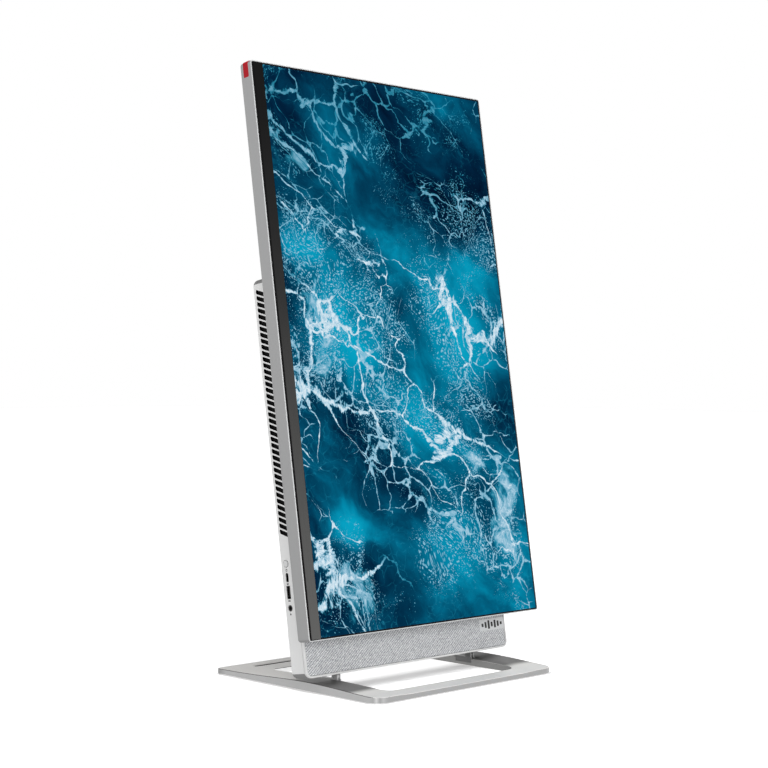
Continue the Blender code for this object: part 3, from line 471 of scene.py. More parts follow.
def pill(a_range, b_range, steps=8):
    """A slot with two half-round ends, longer along a."""
    def outline(grow=0.0):
        radius = (b_range[1] - b_range[0]) / 2 + grow
        right = arc((a_range[1] + grow - radius, middle(b_range)), radius, -math.pi / 2, math.pi / 2, steps)
        left = arc((a_range[0] - grow + radius, middle(b_range)), radius, math.pi / 2, 3 * math.pi / 2, steps)
        return right + left
    return outline


# ---------------- meshes

CORNER_STEPS = 10
SMOOTH_UP_TO = math.radians(35)


def on_axis(axis, a, b, along):
    return {"X": (along, a, b), "Y": (a, along, b), "Z": (a, b, along)}[axis]


def new_loop(mesh, points):
    return [mesh.verts.new(point) for point in points]


def bridge(mesh, rows, skip=()):
    """Quads between neighbouring loops, except where skip names (row, point)."""
    for r, (row, following) in enumerate(zip(rows, rows[1:])):
        for i in range(len(row)):
            if (r, i) not in skip:
                mesh.faces.new((row[i - 1], row[i], following[i], following[i - 1]))


def fill(mesh, loops):
    """A flat face inside the first loop and outside the others."""
    if len(loops) == 1:
        mesh.faces.new(loops[0])
        return
    edges = []
    for loop in loops:
        for i in range(len(loop)):
            pair = (loop[i - 1], loop[i])
            edges.append(mesh.edges.get(pair) or mesh.edges.new(pair))
    bmesh.ops.triangle_fill(mesh, edges=edges, use_beauty=True)


def close_stack(mesh, rows):
    """A closed form from a stack of loops."""
    bridge(mesh, rows)
    fill(mesh, [rows[0]])
    fill(mesh, [rows[-1]])


def rounding(edge, steps=3):
    """(grow, depth) from a flat face, round its edge and on to the side."""
    turns = [math.pi / 2 * i / steps for i in range(steps + 1)]
    return [(edge * (math.sin(t) - 1), edge * (1 - math.cos(t))) for t in turns]


def plate(outline, span, axis="Y", holes=(), edge=0.0002, steps=3):
    """Builds a plate with rounded edges and rounded through holes."""
    thick = abs(span[1] - span[0])
    way = 1 if span[1] > span[0] else -1
    near = rounding(edge, steps)
    profile = near + [(grow, thick - depth) for grow, depth in reversed(near)]

    def build(mesh):
        stacks = []
        for shape, sign in [(outline, 1)] + [(hole, -1) for hole in holes]:
            stacks.append([new_loop(mesh, [on_axis(axis, a, b, span[0] + way * depth)
                                           for a, b in shape(sign * grow)]) for grow, depth in profile])
            bridge(mesh, stacks[-1])
        for end in (0, -1):
            fill(mesh, [stack[end] for stack in stacks])
    return build


def stacked(loops, axis="Y"):
    """Builds a closed form from loops: (points, distance along the axis)."""
    return lambda mesh: close_stack(mesh, [
        new_loop(mesh, [on_axis(axis, a, b, along) for a, b in points]) for points, along in loops])


def turned(centre, profile, axis, steps):
    """Builds a turned piece from (radius, distance along the axis)."""
    return stacked([(disc(centre, radius, steps)(), along) for radius, along in profile], axis)


def tub(outline, front, back, wall, edge_round, lip, openings):
    """Builds an open tub with a round back edge, a rounded lip and openings with rounded rims.

    openings: (side, outline function, rim, depth); a depth of None goes right through the wall.
    """
    outside = [(grow, back - depth) for grow, depth in rounding(edge_round, 6)]
    lip_rows = [(grow, front + depth) for grow, depth in reversed(rounding(lip, 3))]
    inside = [(-wall + lip * 0.3, front), (-wall, front + lip * 0.5), (-wall, back - edge_round),
              (-edge_round, back - wall)]
    levels = outside + lip_rows + inside
    bands = (len(outside) - 1, len(levels) - 3)
    reach, floor = max(a for a, b in outline()), min(b for a, b in outline())
    first = {side: i * (CORNER_STEPS + 1) for i, side in enumerate(("bottom", "right", "top", "left"))}
    pierced = [side for side in first if any(opening[0] == side for opening in openings)]

    def point(side, a, b, depth):
        return {"left": (-reach + depth, a, b), "right": (reach - depth, a, b), "bottom": (a, b, floor + depth),
                "back": (a, back - depth, b)}[side]

    def holes(mesh, side):
        """The walls of one side's openings, and their outer and inner loops."""
        outer, inner = [], []
        for _, shape, rim, depth in (opening for opening in openings if opening[0] == side):
            profile = rounding(rim, 3) + [(0.0, wall if depth is None else depth)]
            stack = [new_loop(mesh, [point(side, a, b, d) for a, b in shape(-grow)]) for grow, d in profile]
            bridge(mesh, stack)
            outer.append(stack[0])
            if depth is None:
                inner.append(stack[-1])
            else:
                fill(mesh, [stack[-1]])
        return outer, inner

    def build(mesh):
        rows = [new_loop(mesh, [(a, y, b) for a, b in outline(grow)]) for grow, y in levels]
        bridge(mesh, rows, {(band, first[side]) for side in pierced for band in bands})
        for side in pierced:
            i = first[side]
            for band, loops in zip(bands, holes(mesh, side)):
                fill(mesh, [[rows[band][i - 1], rows[band][i], rows[band + 1][i], rows[band + 1][i - 1]]] + loops)
        for row, loops in zip((rows[0], rows[-1]), holes(mesh, "back")):
            fill(mesh, [row] + loops)
    return build


def smooth(item):
    """Smooth shading up to a crease."""
    item.data.shade_smooth()
    item.data.set_sharp_from_angle(angle=SMOOTH_UP_TO)


def keep_flats_flat(item):
    item.modifiers.new("even_shading", "WEIGHTED_NORMAL").keep_sharp = True


def new_object(name, build, matrix):
    mesh = bmesh.new()
    build(mesh)
    bmesh.ops.recalc_face_normals(mesh, faces=mesh.faces)
    data = bpy.data.meshes.new(name)
    mesh.to_mesh(data)
    mesh.free()
    item = bpy.data.objects.new(name, data)
    bpy.context.scene.collection.objects.link(item)
    item.matrix_world = matrix
    return item


def piece(name, finish, body, build, slot, *replaces):
    """One visible piece, built in its body's frame and riding on it."""
    item = new_object(name, build, FRAME_OF[body])
    item.data.materials.append(MATERIALS[finish])
    smooth(item)
    keep_flats_flat(item)
    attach(item, body)
    if replaces:
        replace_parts(item, *replaces)
    return item


def paint(item, finishes, choose):
    """Gives some faces of a piece another finish: the one that choose names."""
    for finish in finishes:
        item.data.materials.append(MATERIALS[finish])
    for face in item.data.polygons:
        finish = choose(face.center, face.normal)
        face.material_index = 1 + finishes.index(finish) if finish else 0


# ---------------- display

DISPLAY_CORNER = 0.003
PANEL_CORNER = 0.0022
DISPLAY_BACK_ROUND = 0.0055
DISPLAY_WALL = 0.0011
LIP_DEPTH = 0.0013
HUB_CLEARANCE = 0.0005
SKIN = 0.00003  # how far a thin skin or print stands out
PRINT = 0.00002  # how far a print goes in
TAB_HEIGHT = 0.0167
TAB_REACH = 0.0045  # how far the tab runs along the top
TAB_Y = (0.0048, 0.0128)
TAB_CORNER = 0.0012
TAB_RISE = 0.0007  # how far the tab stands proud along the top
TAB_DEPTH = 0.0003
CHIN_INSET = 0.0019
GASKET_Y = (0.0007, 0.0016)
GASKET_GAP = 0.00005
BORDER = 0.0010  # black margin between the panel's edge and the picture


def make_display():
    x, y, z = spans("display_shell", "display")
    outline = rectangle((x[0] + SKIN, x[1]), (z[0], z[1] - SKIN), DISPLAY_CORNER, CORNER_STEPS)
    hub = disc((0, 0), spans("rotor_plate", "display")[0][1] + HUB_CLEARANCE)
    shell = piece("display_shell_finished", "silver_paint", "display",
                  tub(outline, *y, DISPLAY_WALL, DISPLAY_BACK_ROUND, 0.0004, [("back", hub, 0.0006, None)]),
                  "silver_paint", "display_shell")
    # Painted reflection: the front-facing lip takes a lighter finish than the shell.
    paint(shell, ["lip_paint"],
          lambda place, normal: "lip_paint" if place.y < y[0] + LIP_DEPTH and normal.y < -0.2 else None)
    make_panel(x, z)
    make_corner_tab(x[0], z[1])


def make_panel(shell_x, shell_z):
    """The panel, its lit picture, the dark strip beside it and the gasket round them."""
    x, y, z = spans("lcd_panel", "display")
    piece("panel_border", "border_black", "display",
          plate(rectangle(x, z, PANEL_CORNER, 6, "left"), y, edge=0.00015), "screen_glass", "lcd_panel")
    picture = rectangle((x[0], x[1] - BORDER), wider(z, -BORDER), 0.0004, 3)
    piece("screen_picture", "screen_glass", "display",
          plate(picture, (y[0] - 0.00012, y[0] + 0.0001), edge=0.00005), "screen_glass")
    chin_x, chin_y, chin_z = spans("chin_strip", "display")
    chin_left = chin_x[0] + CHIN_INSET
    chin = rectangle((chin_left, chin_x[1]), chin_z, PANEL_CORNER / 2, 6, "right")
    piece("chin_strip_finished", "chin_gloss", "display", plate(chin, chin_y, edge=0.0003),
          "chin_gloss", "chin_strip")
    rim = rectangle(wider(shell_x, -DISPLAY_WALL), wider(shell_z, -DISPLAY_WALL), DISPLAY_CORNER - DISPLAY_WALL, 6)
    window = rectangle(wider((chin_left, x[1]), GASKET_GAP), wider(z, GASKET_GAP), PANEL_CORNER / 2, 6)
    piece("display_gasket", "border_black", "display",
          plate(rim, GASKET_Y, holes=[window], edge=SKIN, steps=1), "black_plastic")


def make_corner_tab(left, top):
    """The red tab: a thin skin on the side wall that follows the corner and stands proud along the top."""
    centre = (left + DISPLAY_CORNER, top - DISPLAY_CORNER)
    path = []  # place, outward direction, how much narrower, how far proud
    for along, narrower in rounded_end():
        path.append(((left, top - TAB_HEIGHT + along), (-1, 0), narrower, 0.0))
    for a, b in arc(centre, DISPLAY_CORNER, math.pi, math.pi / 2, 10):
        out_a, out_b = (a - centre[0]) / DISPLAY_CORNER, (b - centre[1]) / DISPLAY_CORNER
        path.append(((a, b), (out_a, out_b), 0.0, TAB_RISE * out_b ** 2))
    for along, narrower in reversed(rounded_end()):
        path.append(((centre[0] + TAB_REACH - along, top), (0, 1), narrower, TAB_RISE))

    def build(mesh):
        rows = []
        for (a, b), (out_a, out_b), narrower, rise in path:
            y0, y1 = wider(TAB_Y, -narrower)
            section = ((-TAB_DEPTH, y0), (rise, y0), (rise, y1), (-TAB_DEPTH, y1))
            rows.append(new_loop(mesh, [(a + out_a * out, y, b + out_b * out) for out, y in section]))
        close_stack(mesh, rows)

    piece("corner_tab_finished", "red_plastic", "display", build, "red_plastic", "corner_tab")


def rounded_end():
    """(distance from the tab's end, how much narrower it is there) over its rounded corners."""
    return [(TAB_CORNER * (1 - math.cos(t)), TAB_CORNER * (1 - math.sin(t)))
            for t in (math.pi / 2 * i / 4 for i in range(5))]


# ---------------- computer body

BODY_CORNER = 0.008
BODY_BACK_ROUND = 0.004
BODY_WALL = 0.002
BEZEL_WIDTH = 0.0022
BEZEL_GAP = 0.0003  # between the bezel and what it frames
VENT_COUNT = 40
VENT_PITCH = 0.0065
VENT_HEIGHT = 0.0047
VENT_DROP = 0.0137  # from the body's top to the first slot
VENT_Y = (-0.0063, 0.0064)
VENT_SLANT = 0.40  # how far a slot rises for each metre it runs back
VENT_CORNER = 0.0015
# How far the black sheets of painted shade behind the side slots reach, front to back
SHADE_SCREEN_Y = (-0.0080, 0.0076)
INTAKE_ROWS = 9
INTAKE_PITCH = 0.0066
INTAKE_DROP = 0.026
INTAKE_HEIGHT = 0.003
INTAKE_SHORTER = 0.006  # how much shorter a row is than the fan's wheel is wide
REAR_PORTS = ("video_in_port", "video_out_port", "rear_usb_port_inner", "rear_usb_port_outer")
REAR_GAP = 0.0006  # round the sockets behind
SIDE_GAP = 0.0003  # round the sockets on the left side
HINGE_GAP = 0.0005
HINGE_OPENING_Y = (-0.0052, 0.0052)
SCREW_PLACES = ((-0.140, 0.020), (0.140, 0.020), (-0.140, 0.404), (0.140, 0.404))
SCREW_RADIUS = 0.0030
SCREW_STEPS = 36
# A screw's head: (radius, how deep it lies under the cover's face)
SCREW_HEAD = [(SCREW_RADIUS, 0.0011), (SCREW_RADIUS, 0.0006), (SCREW_RADIUS - 0.0003, 0.0002),
              (SCREW_RADIUS - 0.0008, 0.00005)]
HEXAGON_REACH = 0.00125  # from the hexagon's middle to its flats
HEXAGON_DEPTHS = (0.00005, 0.0009)
# The cloth's front: (how much it grows, how far back it lies), from its edge inwards
CLOTH_CROWN = [(0.0, 0.0007), (0.0, 0.0003), (-0.0003, 0.00005), (-0.0009, -0.0001), (-0.003, -0.0002),
               (-0.012, -0.00028), (-0.035, -0.00033), (-0.070, -0.00035)]
CLOTH_BACK_INSET = 0.0005
TAG_BARS = (0.40, 0.70, 1.0, 0.55, 0.90, 0.65, 0.35)
TAG_BAR_WIDTH = 0.0033
TAG_BAR_HEIGHT = 0.0096  # of the tallest
TAG_PITCH = 0.0052


def slanted(outline):
    """The same outline leaning by the slant of the side slots."""
    return lambda grow=0.0: [(y, z + VENT_SLANT * (y - middle(VENT_Y))) for y, z in outline(grow)]


def vent_openings(top):
    """The cooling slots, the same on both sides."""
    openings = []
    for i in range(VENT_COUNT):
        start = top - VENT_DROP - i * VENT_PITCH
        slot = slanted(rectangle(VENT_Y, (start - VENT_HEIGHT, start), VENT_CORNER, 5))
        openings += [(side, slot, 0.00012, None) for side in ("left", "right")]
    return openings


def rear_openings(top):
    """Behind: the fan's intake, the sockets, the power inlet and the screws' recesses."""
    openings = []
    fan = spans("fan_impeller")[0]
    for i in range(INTAKE_ROWS):
        start = top - INTAKE_DROP - i * INTAKE_PITCH
        slot = pill((fan[0], fan[1] - INTAKE_SHORTER), (start - INTAKE_HEIGHT, start), 6)
        openings.append(("back", slot, 0.0004, None))
    for node in REAR_PORTS:
        x, _, z = spans(node)
        openings.append(("back", rectangle(wider(x, REAR_GAP), wider(z, REAR_GAP), 0.0008, 4), 0.0004, None))
    x, _, z = spans("power_inlet")
    openings.append(("back", disc((middle(x), middle(z)), (x[1] - x[0]) / 2 + REAR_GAP, 40), 0.0004, None))
    for place in SCREW_PLACES:
        openings.append(("back", disc(place, SCREW_RADIUS + 0.0004, 32), 0.0003, 0.0012))
    return openings


def other_openings():
    """Below: the hinges. On the left side: the power button and the sockets."""
    openings = []
    bracket = wider(spans("hinge_bracket_right", "stand")[0], HINGE_GAP)
    for side in (-1, 1):
        x = sorted(side * reach for reach in bracket)
        openings.append(("bottom", rectangle(x, HINGE_OPENING_Y, 0.0008, 4), 0.0003, None))
    for node, radius, rim in (("power_button", 0.0039, 0.0003), ("audio_jack", 0.0034, 0.0002)):
        _, y, z = spans(node)
        openings.append(("left", disc((middle(y), middle(z)), radius, 40), rim, None))
    for node, corner in (("usb_c_port", 0.0019), ("usb_a_port", 0.0006)):
        _, y, z = spans(node)
        openings.append(("left", rectangle(wider(y, SIDE_GAP), wider(z, SIDE_GAP), corner, 6), 0.0002, None))
    return openings


def make_rear_cover():
    """The tub behind: pale, with painted shade: black walls in its slots and darker faces at its top and bottom."""
    x, y, z = spans("rear_cover")
    openings = vent_openings(z[1]) + rear_openings(z[1]) + other_openings()
    cover = piece("rear_cover_finished", "pale_plastic", "computer",
                  tub(rectangle(x, z, BODY_CORNER, CORNER_STEPS), *y, BODY_WALL, BODY_BACK_ROUND, 0.0002, openings),
                  "pale_plastic", "rear_cover")
    vents = (z[1] - VENT_DROP - VENT_COUNT * VENT_PITCH, z[1] - VENT_DROP)
    slots_y, slots_z = wider(VENT_Y, 0.0004), (vents[0] - 0.003, vents[1] + 0.004)

    def choose(place, normal):
        in_wall = x[1] - BODY_WALL + 0.0001 < abs(place.x) < x[1] - 0.0002
        # Painted shade: the slots' walls are black.
        if in_wall and slots_z[0] < place.z < slots_z[1] and slots_y[0] < place.y < slots_y[1]:
            return "border_black"
        # Painted shade: darker faces at the top and bottom ends.
        at_end = abs(normal.z) > 0.35 and not z[0] + BODY_CORNER < place.z < z[1] - BODY_CORNER
        return "shaded_plastic" if at_end else None

    paint(cover, ["border_black", "shaded_plastic"], choose)
    # Painted shade: black sheets behind the side slots.
    make_slot_shade_screens(x[1] - BODY_WALL, (vents[0] - 0.001, vents[1] + 0.002))
    for i, place in enumerate(SCREW_PLACES):
        make_screw(f"cover_screw_{i + 1}", place, y[1])


def make_slot_shade_screens(wall, z):
    """Black screens just inside the side walls, painted shade so that the slots look dark."""
    for side, label in ((-1, "left"), (1, "right")):
        span = (side * (wall - 0.0009), side * (wall - 0.0003))
        piece(f"slot_shade_screen_{label}", "border_black", "computer",
              plate(rectangle(SHADE_SCREEN_Y, z, 0.001, 3), span, "X", edge=0.0001), "black_plastic")


def make_screw(name, place, face_y):
    """A small pan-head screw with a hexagon socket, seen from behind."""
    hexagon = []
    for i in range(SCREW_STEPS):
        t = 2 * math.pi * i / SCREW_STEPS
        reach = HEXAGON_REACH / math.cos((t % (math.pi / 3)) - math.pi / 6)
        hexagon.append((place[0] + reach * math.cos(t), place[1] + reach * math.sin(t)))
    loops = [(disc(place, radius, SCREW_STEPS)(), face_y - depth) for radius, depth in SCREW_HEAD]
    loops += [(hexagon, face_y - depth) for depth in HEXAGON_DEPTHS]
    piece(name, "dark_steel", "computer", stacked(loops), "dark_steel")


def make_body_front():
    x, y, z = spans("front_bezel")
    corner = BODY_CORNER - BEZEL_WIDTH
    windows = []
    for node in ("speaker_fabric", "front_cover"):
        inner_x, _, inner_z = spans(node)
        windows.append(rectangle(wider(inner_x, BEZEL_GAP), wider(inner_z, BEZEL_GAP), corner, CORNER_STEPS))
    piece("front_bezel_finished", "pale_plastic", "computer",
          plate(rectangle(x, z, BODY_CORNER, CORNER_STEPS), y, holes=windows, edge=0.0006, steps=4),
          "pale_plastic", "front_bezel")
    make_cloth_front(corner)
    make_tag()


def make_cloth_front(corner):
    """The cloth: crowned a little over its grille and tucked in round its edge."""
    x, y, z = spans("speaker_fabric")
    shape = rectangle(x, z, corner, CORNER_STEPS)
    loops = [(shape(-CLOTH_BACK_INSET), y[1])] + [(shape(grow), y[0] + depth) for grow, depth in CLOTH_CROWN]
    cloth = piece("speaker_cloth", "fabric", "computer", stacked(loops), "fabric", "speaker_fabric")


def make_tag():
    """The small tag on the cloth, with a row of plain bars in place of wording."""
    x, y, z = spans("label_tag")
    piece("tag_plate", "label", "computer", plate(rectangle(x, z, 0.0006, 5), y, edge=0.0001), "label", "label_tag")
    for i, share in enumerate(TAG_BARS):
        centre = middle(x) + (i - (len(TAG_BARS) - 1) / 2) * TAG_PITCH
        bar = rectangle(centred(centre, TAG_BAR_WIDTH), centred(middle(z), TAG_BAR_HEIGHT * share), 0.0006, 4)
        piece(f"tag_bar_{i + 1}", "ink", "computer",
              plate(bar, (y[0] - SKIN, y[0] + PRINT), edge=PRINT, steps=1), "label")


# ---------------- sockets, button and marks

# (radius, how far in from the outer end)
BUTTON_PROFILE = [(0.0026, 0.0001), (0.0031, 0.0), (0.0034, 0.0003), (0.0034, 0.0028), (0.0046, 0.0028),
                  (0.0046, 0.0036), (0.0015, 0.0036), (0.0015, 0.0050)]
JACK_PROFILE = [(0.0032, 0.012), (0.0032, 0.0002), (0.0030, 0.0), (0.0021, 0.0), (0.0018, 0.0004), (0.0018, 0.011)]
SHELL_WALL = 0.0003
# By the axis a socket opens along: the tongue's length, the contacts' spread and a contact's width, as shares
SOCKET_SHARES = {"X": (0.78, 0.70, 0.06), "Y": (0.74, 0.66, 0.05)}
CONTACT_COUNT = 5
# How far each mark's middle lies below the middle of what it marks
MARK_DROPS = {"power_button": 0.0068, "usb_c_port": 0.0066, "usb_a_port": 0.0088, "audio_jack": 0.0062}


def make_side_controls():
    make_turned("power_button", "button_paint", "button", "silver_paint", BUTTON_PROFILE, 64)
    make_turned("audio_jack", "black_plastic", "computer", "black_plastic", JACK_PROFILE, 40)
    make_socket("usb_c_port", "X", 0.0016)
    make_socket("usb_a_port", "X", 0.0005)
    for node in REAR_PORTS:
        make_socket(node, "Y", 0.0005)
    make_marks(-spans("rear_cover")[0][1], middle(spans("power_button")[1]))


def make_turned(node, finish, body, slot, profile, steps):
    """A turned piece on the left side in place of its CAD node."""
    x, y, z = spans(node)
    profile = [(radius, x[0] + inwards) for radius, inwards in profile]
    piece(f"{node}_finished", finish, body, turned((middle(y), middle(z)), profile, "X", steps), slot, node)


def make_socket(node, axis, corner):
    """A connector: steel shell, black tongue and a row of gilt contacts. It opens to the left or behind."""
    x, y, z = spans(node)
    on_side = axis == "X"
    mouth, end = x if on_side else (y[1], y[0])
    along, across = (z, y) if on_side else (x, z)
    depth = abs(end - mouth)
    profile = [(0.0, depth), (0.0, 0.0001), (-0.0001, 0.0), (-SHELL_WALL + 0.00005, 0.0), (-SHELL_WALL, 0.00015),
               (-SHELL_WALL, depth - 0.001)]

    def bar(long_span, short_span, radius, steps):
        return rectangle(*((short_span, long_span) if on_side else (long_span, short_span)), radius, steps)

    def inside(distance):
        return mouth + distance if on_side else mouth - distance

    shape = bar(along, across, corner, 6)
    piece(f"{node}_shell", "border_black" if on_side else "bright_steel", "computer",
          stacked([(shape(grow), inside(d)) for grow, d in profile], axis), "bright_steel", node)
    length, breadth = along[1] - along[0], across[1] - across[0]
    thin = max(0.0007, min(length, breadth) * 0.22)
    tongue, spread, width = (share * length for share in SOCKET_SHARES[axis])
    piece(f"{node}_tongue", "black_plastic", "computer",
          plate(bar(centred(middle(along), tongue), centred(middle(across), thin), 0.0002, 3),
                (inside(0.0010), inside(depth - 0.0009)), axis, edge=0.0001), "black_plastic")
    face = middle(across) - thin / 2
    for i in range(CONTACT_COUNT):
        share = (i - (CONTACT_COUNT - 1) / 2) / CONTACT_COUNT
        contact = bar(centred(middle(along) + share * spread, width), (face - 0.00008, face + 0.00004), 0.00003, 2)
        piece(f"{node}_contact_{i + 1}", "gold", "computer",
              plate(contact, (inside(0.0013), inside(depth * 0.7)), axis, edge=0.00001, steps=1), "copper")


def make_marks(wall, y):
    """Plain printed marks below the controls on the left side: a ring, a bar, a square and a dot."""
    power, usb_c, usb_a, audio = (middle(spans(node)[2]) - drop for node, drop in MARK_DROPS.items())
    marks = {
        "mark_power": (disc((y, power), 0.0014, 24), [disc((y, power), 0.0007, 24)]),
        "mark_usb_c": (pill(centred(y, 0.0032), centred(usb_c, 0.0014), 4), []),
        "mark_usb_a": (rectangle(centred(y, 0.0036), centred(usb_a, 0.0013), 0.0002, 3), []),
        "mark_audio": (disc((y, audio), 0.0010, 20), []),
    }
    for name, (shape, holes) in marks.items():
        piece(name, "grey_ink", "computer",
              plate(shape, (wall - SKIN, wall + PRINT), "X", holes, edge=0.00001, steps=1), "black_plastic")


# ---------------- stand

STAND_BAR_TOP = 0.0060
STAND_SIDE_RISE = 0.0040
SWELL_START = 0.086  # how far out the side bars' swelling starts
SWELL_WIDTH = 0.026
CREST_Y = -0.024
CREST_SPREAD = 0.080
STAND_CORNERS = (0.016, 0.008, 0.008, 0.016)
STAND_EDGE_BAND = 0.014  # the outer walls lie within this of the stand's edge
STAND_EDGE = 0.0008
STAND_POINTS = 480
STAND_STRIPS = 12  # across the ring's top
WINDOW_HALF_WIDTH = 0.101
WINDOW_Y = (-0.1009, 0.0773)
WINDOW_CORNER = 0.010
NEAR_WINDOW = 0.1012  # faces of the window's side walls and of the groove lie within this of the middle
REST_SLOT = ((-0.1008, 0.1008), (0.1022, 0.1062))
REST_SLOT_FLOOR = 0.0030
CUT_TOP = 0.02  # above all of the stand
SEAT_GAP = 0.0003  # round a hinge bracket


def side_bar_height(x, y):
    """The stand's top: level at front and rear, and swelling along the side bars."""
    sideways = min(max((abs(x) - SWELL_START) / SWELL_WIDTH, 0.0), 1.0)
    sideways = sideways * sideways * (3 - 2 * sideways)
    return STAND_BAR_TOP + STAND_SIDE_RISE * sideways * math.exp(-((y - CREST_Y) / CREST_SPREAD) ** 2)


def evenly(outline, count):
    """The same closed outline with evenly spread points."""
    points = [Vector(point) for point in outline]
    lengths = [(points[(i + 1) % len(points)] - points[i]).length for i in range(len(points))]
    total = sum(lengths)
    spread, i, passed = [], 0, 0.0
    for k in range(count):
        target = total * k / count
        while passed + lengths[i] < target:
            passed += lengths[i]
            i += 1
        spread.append(points[i].lerp(points[(i + 1) % len(points)], (target - passed) / lengths[i]))
    return spread


def stand_ring(x, y, floor):
    """Builds the ring with its swelling top and rounded edges."""
    outer = evenly(rectangle(x, y, STAND_CORNERS, 16)(), STAND_POINTS)
    inner = evenly(rectangle((-WINDOW_HALF_WIDTH, WINDOW_HALF_WIDTH), WINDOW_Y, WINDOW_CORNER, 16)(), STAND_POINTS)

    def on_top(share, inset, drop):
        """Points between the outer and inner edge, moved inwards by inset and down by drop."""
        points = []
        for a, b in zip(outer, inner):
            p = a.lerp(b, share) + (b - a).normalized() * inset
            points.append((p.x, p.y, side_bar_height(p.x, p.y) - drop))
        return points

    def build(mesh):
        edge = rounding(STAND_EDGE, 4)
        levels = [(0, -grow, depth) for grow, depth in reversed(edge)]
        levels += [(i / STAND_STRIPS, 0, 0) for i in range(1, STAND_STRIPS)]
        levels += [(1, grow, depth) for grow, depth in edge]
        loops = [on_top(*level) for level in levels]
        loops = [[(p.x, p.y, floor) for p in outer]] + loops + [[(p.x, p.y, floor) for p in inner]]
        rows = [new_loop(mesh, loop) for loop in loops]
        bridge(mesh, rows + rows[:1])
    return build


def stand_pockets(mesh):
    """What is cut from the ring: the groove across the rear bar and the hinge brackets' seats."""
    plate(pill(*REST_SLOT, 6), (REST_SLOT_FLOOR, CUT_TOP), "Z", edge=0.0003)(mesh)
    x, y, z = spans("hinge_bracket_right", "stand")
    for side in (-1, 1):
        seat_x = sorted((side * (WINDOW_HALF_WIDTH - 0.002), side * (x[1] + SEAT_GAP)))
        seat = rectangle(seat_x, wider(y, SEAT_GAP), 0.001, 3)
        plate(seat, (z[0] - SEAT_GAP, CUT_TOP), "Z", edge=0.0001)(mesh)


def make_stand():
    x, y, z = spans("base_ring", "stand")
    ring = piece("base_ring_finished", "stand_metal", "stand", stand_ring(x, y, z[0]),
                 "satin_aluminium", "base_ring")
    cut(ring, stand_pockets)
    groove_y = wider(REST_SLOT[1], 0.0002)

    def choose(place, normal):
        out, back = abs(place.x), place.y
        on_bevel = 0.35 < normal.z < 0.93 and abs(normal.x) > 0.3 and out > x[1] - 0.002
        in_groove = (groove_y[0] < back < groove_y[1] and out < NEAR_WINDOW
                     and z[0] + 0.001 < place.z < STAND_BAR_TOP - 0.00004)
        # Painted dark reflection on the outer bevels, and painted shade in the groove.
        if on_bevel or in_groove:
            return "stand_edge"
        # The outer walls take the finish with painted light and shade.
        if abs(normal.z) < 0.35 and (out > x[1] - STAND_EDGE_BAND or abs(back) > y[1] - STAND_EDGE_BAND):
            return "stand_side"
        # Painted shade on the window's side walls.
        if out < NEAR_WINDOW and abs(normal.x) > 0.7 and back < 0.08:
            return "stand_inside"
        # Painted light glowing on the window's rear wall, with a painted dark edge along its top.
        if abs(back - WINDOW_Y[1]) < 0.001 and normal.y < -0.3:
            return "stand_pale" if normal.z < 0.3 else "stand_edge"
        return None

    paint(ring, ["stand_edge", "stand_inside", "stand_side", "stand_pale"], choose)


def cut(item, build):
    """Cuts a shape out of a piece and applies the cut."""
    cutter = new_object("cutter", build, item.matrix_world)
    change = item.modifiers.new("cut", "BOOLEAN")
    change.operation = "DIFFERENCE"
    change.object = cutter
    bpy.context.view_layer.update()
    evaluated = item.evaluated_get(bpy.context.evaluated_depsgraph_get())
    cut_mesh = bpy.data.meshes.new_from_object(evaluated)
    item.modifiers.clear()
    material = item.data.materials[0]
    item.data = cut_mesh
    item.data.materials.clear()
    item.data.materials.append(material)
    smooth(item)
    keep_flats_flat(item)
    bpy.data.objects.remove(cutter)


# ---------------- CAD nodes that stay

# The right hinge is dark grey, with painted shade on its bracket's side faces; the left hinge takes the pale
# finish.
HINGE_FINISHES = {"hinge_bracket_right": "bracket_metal", "hinge_bracket_left": "lip_paint",
                  "hinge_arm_right": "hinge_grey", "hinge_arm_left": "lip_paint",
                  "hinge_pin_right": "hinge_grey", "hinge_pin_left": "lip_paint"}


def dress_cad_nodes():
    """The CAD nodes that stay get their slot's material, or a hinge's own, and smooth shading."""
    slots = {subpart["node"]: subpart["material_slot"] for subpart in frame["record"]["subparts"]}
    replaced = {node for item in bpy.context.scene.objects for node in item.get("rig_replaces", ())}
    for node, item in frame["nodes"].items():
        if node not in replaced:
            item.data.materials.clear()
            item.data.materials.append(MATERIALS[HINGE_FINISHES.get(node, slots[node])])
            smooth(item)
    # Painted shade: the right bracket's side faces turn dark grey.
    paint(frame["nodes"]["hinge_bracket_right"], ["hinge_grey"],
          lambda place, normal: "hinge_grey" if abs(normal.x) > 0.7 else None)


# ---------------- studio

CAMERA_PLACE = (-1.3344, -1.3365, 0.3292)
CAMERA_YAW = math.radians(44.84)
CAMERA_PITCH = math.radians(-0.30)
CAMERA_ROLL = math.radians(0.32)
LENS = 80.19
# Each soft light: its place, what it points at, its size and its power in watts
AREA_LIGHTS = {
    "side_light": ((-3.0, 0.3, 0.7), (0, 0, 0.3), (2.0, 1.4), 25),
    "front_light": ((-0.2, -3.0, 1.0), (0, 0, 0.3), (2.0, 1.4), 37),
    "top_light": ((-0.5, -1.1, 2.6), (0, -0.1, 0.0), (1.6, 1.2), 62),
}
# How bright the world is at each height of its dome, from straight down (-1) to straight up (1)
LIGHT_BAND = [(-1.0, 0.50), (-0.35, 0.50), (-0.12, 0.80), (0.0, 1.05), (0.18, 1.05), (0.42, 0.22), (1.0, 0.15)]
FLOOR_HALF_SIZE = 12.0
FLOOR_GLOW = 0.72  # beside the object
FLOOR_SHADOW_BAND = 0.52  # how much less it glows in the painted shadow band under the computer
STAND_SHADE_Y = -0.036  # middle of that band
CONTACT_CORNER = 0.012  # of the painted contact shadow along the stand's edge


